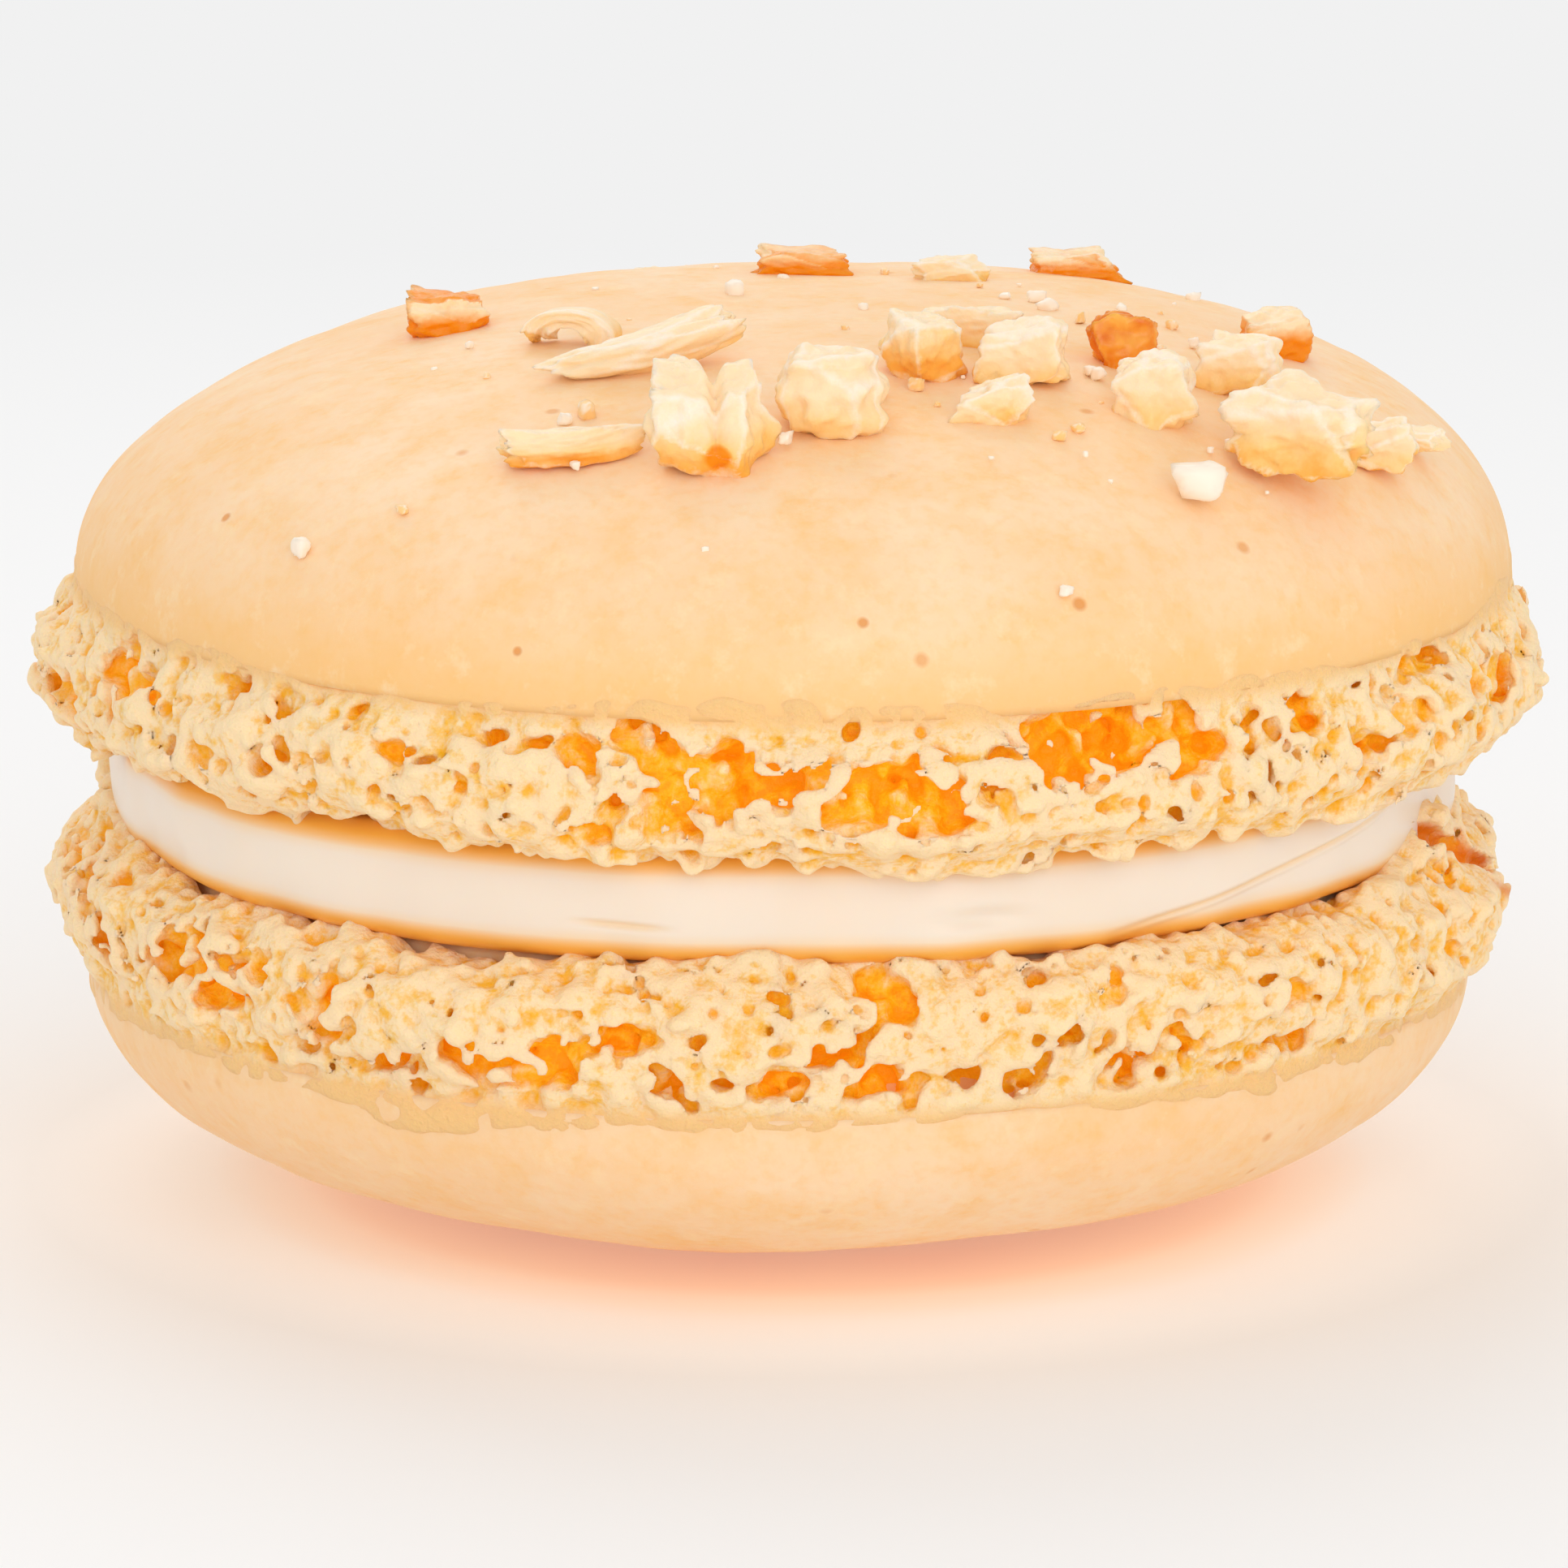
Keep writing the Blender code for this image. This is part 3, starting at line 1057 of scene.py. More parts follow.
@dataclass
class Foot:
    """The open crumb round a shell's rim, as the zero surface of a field.

    The field is the distance inside a smooth ruffled ring. Creased noise makes grains of
    crumb, and bubbles and torn hollows are cut from it with ragged edges.
    """

    dome: Dome
    radius: float
    seed: int
    lobes: tuple[Lobe, ...]
    hollows: tuple[Hollow, ...]
    bare: tuple[float, float]
    step: float = 0.1
    reach_in: float = 20.9
    reach_out: float = 25.0
    base_step: float = 1.1
    lip: float = 0.02
    ruffle: float = 0.22
    sectors: int = 6
    small_bubbles: int = 3000
    middle_bubbles: int = 110

    def __post_init__(self) -> None:
        """Lay out the grid: round the ring, outwards, and from the base to the rim."""
        self.tall = abs(self.dome.rim_z - self.dome.base_z)
        self.middle = 0.5 * (self.reach_in + self.radius)
        columns = 4 * round(FULL_TURN * self.middle / self.step / 4)
        self.angle = np.arange(columns) / columns * FULL_TURN
        self.round = self.angle * self.middle
        self.out = np.arange(self.reach_in, self.reach_out, self.step)
        lowest = -0.9 - max(lobe.rise for lobe in self.lobes)
        self.level = np.arange(lowest, self.tall + 1.7, self.step)
        self.rng = np.random.default_rng(self.seed)

    def envelope(self) -> Array:
        """Radius of the smooth ring at each angle and level.

        It curves in at the base, stands out in the middle and runs into the cap's own
        outline above the rim. Slow noise and the lobes ruffle it.

        Returns:
            Radii, angles by levels.
        """
        share = np.clip(self.level / self.tall, 0.0, 1.0)
        stand = self.radius - self.dome.radius - self.lip
        ring = self.radius - self.base_step * (1.0 - smooth(share / 0.4)) ** 2
        ring = ring - stand * smooth((share - 0.55) / 0.45)
        ring = ring - 0.1 * np.maximum(-self.level, 0.0)
        over = self.level > self.tall
        ring = np.where(over, self.dome.radius_at(self.level - self.tall) + self.lip, ring)
        inset = 1.0 - smooth((self.level - self.tall + 1.4) / 1.4)
        axes = (self.round, self.level)
        waves = self.ruffle * lattice_noise(axes, 4.2, self.rng) + 0.12 * lattice_noise(axes, 1.7, self.rng)
        result = ring[None, :] + waves * inset[None, :]
        for lobe in self.lobes:
            round_ = np.exp(-((turn_apart(self.angle, lobe.angle) / math.radians(lobe.reach)) ** 2))
            rise = np.exp(-(((share - lobe.level) / lobe.tall) ** 2)) * inset
            result = result + lobe.out * round_[:, None] * rise[None, :]
        return np.minimum(result, self.reach_out - 0.45)

    def smooth_field(self) -> tuple[Array, Array]:
        """Distance inside the smooth ring, before any crumb.

        Returns:
            The field, and the radii of the ring.
        """
        ring = self.envelope()
        sink = 0.28 + 0.14 * lattice_noise((self.round,), 1.1, self.rng)
        sink = sink + 0.2 * lattice_noise((self.round,), 5.0, self.rng)
        over = smooth((self.level[None, :] - self.tall - sink[:, None]) / 1.1)
        side = (ring - 0.9 * over)[:, None, :] - self.out[None, :, None]
        axes = (self.round, self.out)
        ragged = 0.16 * lattice_noise(axes, 1.5, self.rng) + 0.1 * lattice_noise(axes, 0.6, self.rng)
        over_cream = 0.12 * lattice_noise((self.round,), 6.5, self.rng)
        for lobe in self.lobes:
            apart = turn_apart(self.angle, lobe.angle) / math.radians(lobe.reach)
            over_cream = over_cream + lobe.rise * np.exp(-(apart**2))
        under = self.level[None, None, :] - (ragged - over_cream[:, None])[:, :, None]
        soft = 0.22
        both = -soft * np.logaddexp(-side / soft, -under / soft)
        return both.astype(np.float32), ring

    def grains(self) -> tuple[Array, Array]:
        """Creased lumps of crumb, and the ragged noise for torn edges.

        Returns:
            The two noise fields.
        """
        axes = (self.round, self.out, self.level)
        coarse = np.abs(lattice_noise(axes, 1.15, self.rng)) - 0.8
        middle = np.abs(lattice_noise(axes, 0.62, self.rng)) - 0.8
        fine = lattice_noise(axes, 0.3, self.rng)
        calm = 1.0 - 0.85 * smooth((self.level - self.tall + 0.5) / 0.7)
        lumps = (0.09 * coarse + 0.13 * middle + 0.085 * fine) * calm[None, None, :]
        ragged = 0.16 * middle + 0.1 * fine + 0.14 * coarse
        return lumps.astype(np.float32), ragged.astype(np.float32)

    def cut(
        self,
        field_: Array,
        ragged: Array,
        centre: tuple[float, float, float],
        half: tuple[float, float, float],
        rough: float,
    ) -> None:
        """Cut one ragged ellipsoid from the field, within the block that it fills.

        Args:
            field_: The field, changed in place.
            ragged: Noise for its edge.
            centre: Its angle, radius and level.
            half: Its half sizes round, out and up.
            rough: How ragged it is.
        """
        spread = 1.35
        columns = len(self.angle)
        middle = centre[0] / FULL_TURN * columns
        wide = int(half[0] * spread / self.step) + 2
        index = (np.arange(-wide, wide + 1) + round(middle)) % columns
        away = ((np.arange(-wide, wide + 1) + round(middle)) - middle) * self.step * self.radius / self.middle
        low = np.searchsorted(self.out, centre[1] - half[1] * spread)
        high = np.searchsorted(self.out, centre[1] + half[1] * spread)
        bottom = np.searchsorted(self.level, centre[2] - half[2] * spread)
        top = np.searchsorted(self.level, centre[2] + half[2] * spread)
        if high <= low or top <= bottom:
            return
        block = np.ix_(index, np.arange(low, high), np.arange(bottom, top))
        square = (
            (away[:, None, None] / half[0]) ** 2
            + ((self.out[None, low:high, None] - centre[1]) / half[1]) ** 2
            + ((self.level[None, None, bottom:top] - centre[2]) / half[2]) ** 2
        )
        gap = (np.sqrt(square) - 1.0) * min(half) + rough * ragged[block]
        field_[block] = np.minimum(field_[block], gap)

    def scatter(self, field_: Array, ragged: Array, ring: Array) -> None:
        """Cut the small and middle bubbles at random over the side and the base.

        Args:
            field_: The field, changed in place.
            ragged: Noise for their edges.
            ring: Radii of the smooth ring.
        """
        rng = self.rng
        for count, least, most, rough in (
            (self.small_bubbles, 0.09, 0.27, 0.4),
            (self.middle_bubbles, 0.32, 0.72, 0.8),
        ):
            angles = rng.uniform(0, FULL_TURN, count)
            levels = rng.uniform(self.level[0] + 0.7, self.tall - 0.35, count)
            sizes = least + (most - least) * rng.uniform(0, 1, count) ** 2.2
            depths = rng.uniform(-0.3, 1.3, count) * sizes
            shapes = rng.uniform(0.75, 1.45, (count, 2))
            rows = (angles / FULL_TURN * len(self.angle)).astype(int)
            places = np.clip(((levels - self.level[0]) / self.step).astype(int), 0, len(self.level) - 1)
            radii = ring[rows, places] - depths
            for angle, radius, level, size, (wide, high) in zip(angles, radii, levels, sizes, shapes):
                self.cut(field_, ragged, (angle, radius, level), (size * wide, size, size * high), rough)

    def tear(self, field_: Array, ragged: Array, ring: Array, hollow: Hollow) -> None:
        """Cut one torn hollow: a row of main bubbles with smaller ones at their edges.

        Args:
            field_: The field, changed in place.
            ragged: Noise for its edges.
            ring: Radii of the smooth ring.
            hollow: The hollow.
        """
        rng = self.rng
        count = max(1, round(hollow.width / (hollow.tall * 1.25)))
        offsets = (np.arange(count) - (count - 1) / 2) / count * hollow.width
        middle = self.tall - hollow.under_rim
        for offset in offsets:
            angle = math.radians(hollow.angle) + offset / self.radius
            level = middle + (rng.uniform(-0.22, 0.22) * hollow.tall if count > 1 else 0.0)
            column = int(angle / FULL_TURN * len(self.angle)) % len(self.angle)
            row = int(np.clip((level - self.level[0]) / self.step, 0, len(self.level) - 1))
            radius = ring[column, row]
            half_wide = hollow.width / count * rng.uniform(0.5, 0.64)
            half_tall = hollow.tall * rng.uniform(0.4, 0.52)
            deep = hollow.deep * rng.uniform(0.6, 0.85)
            self.cut(field_, ragged, (angle, radius - 0.42 * deep, level), (half_wide, deep * 0.72, half_tall), 1.5)
            for _ in range(7):
                bearing = rng.uniform(0, FULL_TURN)
                reach = rng.uniform(0.75, 1.15)
                size = rng.uniform(0.25, 0.55) * hollow.tall * 0.5
                spot = (
                    angle + math.cos(bearing) * half_wide * reach / self.radius,
                    radius - rng.uniform(0.0, 0.7) * deep,
                    level + math.sin(bearing) * half_tall * reach,
                )
                if spot[2] < self.tall - 0.3:
                    self.cut(field_, ragged, spot, (size * rng.uniform(0.9, 1.7), size * 1.2, size), 1.1)

    def unseen(self) -> list[Hollow]:
        """Hollows of the same kind for the side that faces away.

        Returns:
            The hollows.
        """
        start, stop = self.bare
        made, angle = [], start
        while angle < stop:
            width = float(self.rng.uniform(1.2, 4.2))
            angle += math.degrees(width / self.radius) * 0.5 + float(self.rng.uniform(1.0, 7.0))
            tall = float(self.rng.uniform(0.8, 2.2))
            under = float(self.rng.uniform(0.5 + tall * 0.5, self.tall - 0.4 - tall * 0.5))
            made.append(Hollow(angle, under, width, tall, float(self.rng.uniform(1.0, 1.9))))
            angle += math.degrees(width / self.radius) * 0.5
        return made

    def skins(self) -> list[Skin]:
        """Work out the field, net its surface and share it between sectors.

        Returns:
            One surface for each sector.
        """
        smooth_, ring = self.smooth_field()
        lumps, ragged = self.grains()
        solid = smooth_ + lumps
        self.scatter(solid, ragged, ring)
        for hollow in (*self.hollows, *self.unseen()):
            self.tear(solid, ragged, ring, hollow)
        spots, faces = surface_net(solid)
        crowd = blurred(solid > 0, 4)
        index = np.clip(np.round(spots).astype(int), 0, np.array(solid.shape) - 1)
        where = tuple(index.T)
        angle = spots[:, 0] / len(self.angle) * FULL_TURN
        out = self.out[0] + spots[:, 1] * self.step
        level = self.level[0] + spots[:, 2] * self.step
        x = self.dome.axis_x + out * np.sin(angle)
        y = -out * np.cos(angle)
        share = np.clip((level - self.tall) / self.dome.rise, 0.0, 1.0)
        z = self.dome.base_z + self.dome.up * (level + self.dome.tilt * (x - self.dome.axis_x) * share)
        points = np.stack((x, y, z), axis=1)
        probe = faces[:: max(1, len(faces) // 5000)]
        a, b, c, d = (points[probe[:, n]] for n in range(4))
        across = np.cross(c - a, d - b)
        bearing = (a + c) * (1.0, 1.0, 0.0)
        if (across * bearing).sum() < 0:
            faces = faces[:, ::-1].copy()
        normals = vertex_normals(points, faces)
        hollow = np.maximum(smooth_[where], 0.0)
        skin = smooth((level - self.tall + 0.55) / 0.7) * (1.0 - smooth((hollow - 0.1) / 0.25))
        # hollow and crowd also drive the crumb material's painted shade and glow.
        carried = {
            "hollow": hollow,
            "crowd": crowd[where],
            "skin": skin,
            "brown": self.browning(angle, level, hollow),
        }
        return self.shared(points, faces, normals, carried, spots)

    def browning(self, angle: Array, level: Array, hollow: Array) -> Array:
        """Where the crumb has darker brown streaks: nowhere, unless a foot says so."""
        return np.zeros_like(angle)

    def shared(
        self, points: Array, faces: Array, normals: Array, carried: dict[str, Array], spots: Array
    ) -> list[Skin]:
        """Split the ring into sectors, each with its own map in four layers by depth.

        Args:
            points: All points.
            faces: All quads.
            normals: Normals of the points.
            carried: Attributes of the points.
            spots: Places of the points in grid steps.

        Returns:
            The sectors.
        """
        columns = len(self.angle)
        corner = spots[faces]
        start = corner[:, :, 0]
        wrapped = start.max(axis=1) - start.min(axis=1) > columns / 2
        start = np.where(wrapped[:, None] & (start < columns / 2), start + columns, start)
        sector = (start.mean(axis=1) / columns * self.sectors).astype(int) % self.sectors
        radial = points[faces].mean(axis=1) * (1.0, 1.0, 0.0)
        facing = (normals[faces].mean(axis=1) * radial).sum(axis=1) > 0
        depth = carried["hollow"][faces].mean(axis=1)
        layer = np.where(facing, np.digitize(depth, (0.35, 1.1)), 3)
        rows = len(self.level)
        skins = []
        for number in range(self.sectors):
            mine = sector == number
            used, local = np.unique(faces[mine], return_inverse=True)
            u = (start[mine] / columns * self.sectors - number + 0.05) / 1.1 % 1.0
            u = np.where(u.max(axis=1, keepdims=True) - u > 0.5, u + 1.0, u)
            v = (corner[mine][:, :, 2] / rows + layer[mine][:, None]) / 4.0
            skins.append(
                Skin(
                    points[used],
                    local.reshape(-1, 4),
                    {k: value[used] for k, value in carried.items()},
                    np.stack((np.clip(u, 0.0, 1.0), v), axis=-1),
                    normals[used],
                )
            )
        return skins

    def build(self, piece: str, finish: bpy.types.Material) -> list[bpy.types.Object]:
        """Make the sectors of the foot.

        Args:
            piece: The start of their names.
            finish: Their finish.

        Returns:
            The pieces.
        """
        made = []
        for number, skin in enumerate(self.skins()):
            sector = skin.make(f"{piece}_{number + 1}", finish)
            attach(sector, BODY)
            made.append(sector)
        return made


@dataclass
class FoldedFoot(Foot):
    """The lower foot, whose side has folded over at the right, with darker brown streaks along the crease."""

    fold_start: float = 65.0
    fold_end: float = 86.0
    fold_rise: float = -1.7
    fold_drop: float = 1.9
    crease_cuts: int = 15

    def crease(self, share: Array | float) -> Array | float:
        """Level of the crease under the fold, at a share of its run."""
        return self.fold_rise + (self.fold_drop - self.fold_rise) * share

    def scatter(self, field_: Array, ragged: Array, ring: Array) -> None:
        """Cut the bubbles, then the crease under the fold.

        Args:
            field_: The field, changed in place.
            ragged: Noise for their edges.
            ring: Radii of the smooth ring.
        """
        super().scatter(field_, ragged, ring)
        for share in np.linspace(0.0, 1.0, self.crease_cuts):
            angle = math.radians(self.fold_start + (self.fold_end - self.fold_start) * share)
            level = self.crease(share)
            column = int(angle / FULL_TURN * len(self.angle))
            row = int((level - self.level[0]) / self.step)
            half = (0.75, 0.85, 0.2 + 0.22 * math.sin(math.pi * share))
            self.cut(field_, ragged, (angle, ring[column, row] - 0.1, level), half, 0.35)

    def browning(self, angle: Array, level: Array, hollow: Array) -> Array:
        """Brown streaks under the fold.

        Args:
            angle: Angles of the points.
            level: Their levels over the base.
            hollow: Their depths.

        Returns:
            How brown they are, 0 to 1.
        """
        share = np.degrees(turn_apart(angle, self.fold_start)) / (self.fold_end - self.fold_start)
        lean = level - self.crease(share)
        along = smooth((share + 0.15) / 0.25) * smooth((1.2 - share) / 0.25)
        streak = np.exp(-((lean / 0.5) ** 2)) * smooth((hollow - 0.05) / 0.3)
        second = 0.8 * np.exp(-(((lean - 1.15) / 0.25) ** 2)) * smooth((share - 0.35) / 0.3)
        return np.clip((1.2 * streak + second) * along, 0.0, 1.0)


# ---------------------------------------------------------------- filling


@dataclass
class Filling:
    """The layer of cream: a disc whose side bulges softly and holds a few folds."""

    node: str
    axis_x: float
    bottom: float
    top: float
    radius: float
    bulge: float = 0.3
    columns: int = 720
    rows: int = 80

    def skin(self) -> Skin:
        """The closed surface, from the top's middle down the side to the bottom's.

        Returns:
            The surface, with what meets the shells marked for the painted shade there.
        """
        angle = np.arange(self.columns) / self.columns * FULL_TURN
        t = np.linspace(-1.0, 1.0, self.rows)
        grid_t, grid_a = np.meshgrid(t, angle, indexing="ij")
        half = 0.5 * (self.top - self.bottom) + 0.12
        middle = 0.5 * (self.top + self.bottom)
        spots = np.stack(
            (np.sin(grid_a) * 22 + 40, -np.cos(grid_a) * 22 + 40, grid_t * half + 10), axis=-1
        ).reshape(-1, 3)
        waves = (0.16 * noise_at(spots, 5.0, 31) + 0.05 * noise_at(spots, 1.6, 32)).reshape(grid_t.shape)
        reach = self.radius + self.bulge * (1.0 - grid_t**2) - 0.5 * np.abs(grid_t) ** 10 + waves
        fold, depth = self.folds(grid_a, grid_t * half)
        reach = reach - depth
        height = middle - grid_t * half
        x = self.axis_x + reach * np.sin(grid_a)
        y = -reach * np.cos(grid_a)
        side = np.stack((x, y, height), axis=-1).reshape(-1, 3)
        points = np.concatenate((side, [[self.axis_x, 0.0, middle + half], [self.axis_x, 0.0, middle - half]]))
        faces = grid_faces(self.rows, self.columns, False, True)
        here = np.arange(self.columns)
        there = (here + 1) % self.columns
        last = (self.rows - 1) * self.columns
        top, base = len(points) - 2, len(points) - 1
        poles = np.concatenate(
            (
                np.stack((np.full(self.columns, top),) * 2 + (there, here), axis=1),
                np.stack((np.full(self.columns, base),) * 2 + (last + here, last + there), axis=1),
            )
        )
        grid_map = np.stack(
            (
                np.concatenate(((grid_a / FULL_TURN).reshape(-1), [0.5, 0.5])),
                np.concatenate(((0.1 + 0.4 * (grid_t + 1)).reshape(-1), [0.0, 1.0])),
            ),
            axis=1,
        )
        faces = np.concatenate((faces, poles))
        face_map = grid_map[faces]
        seam = (face_map[:, :, 0].max(axis=1) - face_map[:, :, 0].min(axis=1)) > 0.5
        face_map[seam, :, 0] = np.where(face_map[seam, :, 0] < 0.3, 1.0, face_map[seam, :, 0])
        # edge marks the bands by the shells, where the cream material paints their warm shade.
        edge = np.concatenate((smooth((np.abs(grid_t) - 0.34) / 0.5).reshape(-1), [1.0, 1.0]))
        carried = {"edge": edge, "fold": np.concatenate((fold.reshape(-1), [0.0, 0.0]))}
        return Skin(points, faces, carried, face_map).turned_outward()

    def folds(self, angle: Array, drop: Array) -> tuple[Array, Array]:
        """The second layer of cream at the right, a lens-shaped dent and a thin slit.

        Args:
            angle: Angles of the grid.
            drop: Distance below the middle of the side.

        Returns:
            How much each point is in the groove or the slit, which the cream material tints as painted shade, and how
            deep it is pressed.
        """
        apart = np.degrees(turn_apart(angle, 46.0))
        line = drop - (1.1 - 0.062 * (apart + 16.0))
        within = smooth((apart + 20.0) / 8.0) * smooth((34.0 - apart) / 8.0)
        step = 0.32 * smooth((line + 0.1) / 0.45) * within
        groove = 0.22 * np.exp(-((line / 0.13) ** 2)) * within
        dent = np.degrees(turn_apart(angle, 16.0)) / 3.4
        lens = 0.3 * np.exp(-(dent**2) - ((drop - 0.35) / 0.33) ** 2)
        slit_a = np.degrees(turn_apart(angle, -13.5)) / 3.6
        slit = 0.16 * np.exp(-(slit_a**4) - ((drop - 0.55 - slit_a * 0.06) / 0.11) ** 2)
        return np.clip(groove * 2.6 + slit * 3.0, 0.0, 1.0), step + groove + lens + slit

    def build(self, finish: bpy.types.Material) -> bpy.types.Object:
        """Make the layer.

        Args:
            finish: Its finish.

        Returns:
            The piece.
        """
        piece = self.skin().make("cream_filling", finish)
        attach(piece, BODY)
        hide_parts(self.node)
        return piece


# ---------------------------------------------------------------- nuts


class Form(Enum):
    """How a chopped nut is broken."""

    CHUNK = "chunk"
    SLIVER = "sliver"
    CURL = "curl"
    CLEFT = "cleft"
    BARREL = "barrel"


@dataclass(frozen=True)
class Nut:
    """One chopped nut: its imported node, size, turn, form and how golden it is."""

    node: str
    size: tuple[float, float, float]
    turn: float
    form: Form = Form.CHUNK
    gold: float = 0.2
    ambered: float = 0.0
    lean: float = 0.0
    rough: float = 0.05

    @property
    def seed(self) -> int:
        """A seed that depends only on the name."""
        return sum(ord(letter) * (place + 3) for place, letter in enumerate(self.node))


@dataclass
class Topping:
    """The chopped nuts on the upper cap, and the crumbs among them."""

    dome: Dome
    columns: int = 88
    rows: int = 48
    blunt: float = 24.0
    sunk: float = 0.24

    def shape(self, nut: Nut) -> Skin:
        """A rounded, faceted lump: the reach along a direction is one over the p-norm of
        the direction against each cutting plane.

        Args:
            nut: The nut.

        Returns:
            Its surface about its own middle.
        """
        rng = np.random.default_rng(nut.seed)
        polar = np.linspace(0.0, math.pi, self.rows)[1:-1]
        around = np.arange(self.columns) / self.columns * FULL_TURN
        grid_p, grid_a = np.meshgrid(polar, around, indexing="ij")
        ways = np.stack((np.sin(grid_p) * np.cos(grid_a), np.sin(grid_p) * np.sin(grid_a), np.cos(grid_p)), axis=-1)
        ways = np.concatenate((ways.reshape(-1, 3), [[0.0, 0.0, 1.0], [0.0, 0.0, -1.0]]))
        faces = np.array([v for axis in np.eye(3) for v in (axis, -axis)])
        faces = faces + rng.normal(0.0, 0.16, faces.shape)
        extra = rng.normal(0.0, 1.0, (9, 3))
        faces = faces / np.linalg.norm(faces, axis=1, keepdims=True)
        extra = extra / np.linalg.norm(extra, axis=1, keepdims=True)
        planes = np.concatenate((faces, extra))
        reach = np.concatenate((rng.uniform(0.82, 1.0, 6), rng.uniform(0.92, 1.2, 9)))
        against = np.maximum(ways @ planes.T, 0.0) / reach
        size = (against**self.blunt).sum(axis=1) ** (-1.0 / self.blunt)
        order = np.sort(against, axis=1)
        edge = smooth((order[:, -2] / order[:, -1] - 0.86) / 0.14)
        facet = rng.uniform(-1.0, 1.0, len(planes))[against.argmax(axis=1)]
        points = ways * size[:, None]
        points = points * (1.0 + nut.rough * noise_at(points * 2.4 + 20, 0.9, nut.seed)[:, None])
        points = points * (1.0 + 0.5 * nut.rough * noise_at(points * 2.4 + 20, 0.33, nut.seed + 1)[:, None])
        points = self.formed(nut, points) * np.array(nut.size) * 0.5
        x, y, z = (points / (np.array(nut.size) * 0.5)).T
        # low: towards the underside, and in the cleft's groove; the nut materials paint shade there.
        low = smooth(0.5 - 0.62 * z)
        if nut.form is Form.CLEFT:
            low = np.maximum(low, 1.7 * np.exp(-((x - 0.1) ** 2 + (z + 0.45) ** 2) / 0.16) * (y < 0))
        count = self.rows - 2
        quads = grid_faces(count, self.columns, False, True)
        here = np.arange(self.columns)
        there = (here + 1) % self.columns
        last = (count - 1) * self.columns
        top, base = len(points) - 2, len(points) - 1
        poles = np.concatenate(
            (
                np.stack((np.full(self.columns, top),) * 2 + (there, here), axis=1),
                np.stack((np.full(self.columns, base),) * 2 + (last + here, last + there), axis=1),
            )
        )
        quads = np.concatenate((quads, poles))
        flat = np.stack(
            (
                np.concatenate(((grid_a / FULL_TURN).reshape(-1), [0.5, 0.5])),
                np.concatenate((1.0 - (grid_p / math.pi).reshape(-1), [1.0, 0.0])),
            ),
            axis=1,
        )[quads]
        seam = (flat[:, :, 0].max(axis=1) - flat[:, :, 0].min(axis=1)) > 0.6
        flat[seam, :, 0] = np.where(flat[seam, :, 0] < 0.3, 1.0, flat[seam, :, 0])
        return Skin(points, quads, {"edge": edge, "low": low, "facet": facet}, flat)

    def formed(self, nut: Nut, points: Array) -> Array:
        """Bend, split or ridge a lump by its form.

        Args:
            nut: The nut.
            points: Its points in a box of half size 1.

        Returns:
            The changed points.
        """
        x, y, z = points.T.copy()
        if nut.form is Form.CURL:
            bend = 2.0 * x
            thick = 0.3 * z
            x, z = np.sin(bend) * (0.7 + thick), np.cos(bend) * (0.7 + thick) - 0.15
            y = 0.8 * y + 0.25 * x
        elif nut.form is Form.CLEFT:
            groove = np.exp(-(((x - 0.08) / 0.13) ** 2)) * smooth((z + 0.5) / 0.9)
            z = z - 0.34 * groove
            y = y * (1.0 - 0.25 * groove)
        elif nut.form is Form.BARREL:
            swell = 1.0 + 0.045 * np.sin(9.0 * z + 0.8)
            x, y = x * swell, y * swell
        elif nut.form is Form.SLIVER:
            z = z + 0.25 * (x**2 - 0.4)
            y = y * (1.0 - 0.35 * x**2)
        return np.stack((x, y, z), axis=1)

    def middle(self, node: str) -> Array:
        """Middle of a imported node's box in millimetres."""
        low, high = (np.array(corner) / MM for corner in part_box(node))
        return 0.5 * (low + high)

    def placed(self, nut: Nut, centre: tuple[float, float, float] | Array) -> Skin:
        """Turn and lean a nut and seat it in the cap's skin.

        Args:
            nut: The nut.
            centre: The place of its middle; its height comes from the cap.

        Returns:
            Its surface in the frame.
        """
        skin = self.shape(nut)
        lean, turn = math.radians(nut.lean), math.radians(nut.turn)
        tip = np.array([[math.cos(lean), 0, -math.sin(lean)], [0, 1, 0], [math.sin(lean), 0, math.cos(lean)]])
        spin = np.array([[math.cos(turn), -math.sin(turn), 0], [math.sin(turn), math.cos(turn), 0], [0, 0, 1]])
        points = skin.points @ (spin @ tip).T
        points = points - 0.5 * (points.min(axis=0) + points.max(axis=0)) + np.array(centre)
        x, y = points[:, 0] - self.dome.axis_x, points[:, 1]
        ground = self.dome.rim_z + self.dome.height_at(np.hypot(x, y)) + self.dome.relief(x, y)
        gap = (points[:, 2] - ground - self.dome.tilt * x).min()
        points[:, 2] -= gap + self.sunk * nut.size[2]
        skin.points = points
        return skin.turned_outward()

    def build(self, nuts: tuple[Nut, ...], finish: Nutty) -> None:
        """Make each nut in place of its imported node.

        Args:
            nuts: The nuts.
            finish: Their colours.
        """
        shared: dict[tuple, bpy.types.Material] = {}
        for nut in nuts:
            skinned = nut.ambered >= 1.0
            key = ("skin",) if skinned else (round(nut.gold, 1), round(nut.ambered, 1))
            if key not in shared:
                label = "_".join(str(k).replace(".", "") for k in key)
                if skinned:
                    shared[key] = finish.amber_of("nut_amber_skin")
                else:
                    shared[key] = finish.kernel_of(f"nut_kernel_{label}", *key)
            piece = self.placed(nut, self.middle(nut.node)).make(nut.node + "_chopped", shared[key])
            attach(piece, BODY)
            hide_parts(nut.node)


@dataclass(frozen=True)
class Crumb:
    """A crumb: its place over the upper shell, its length and its flatness."""

    x: float
    y: float
    size: float
    flat: float = 0.7


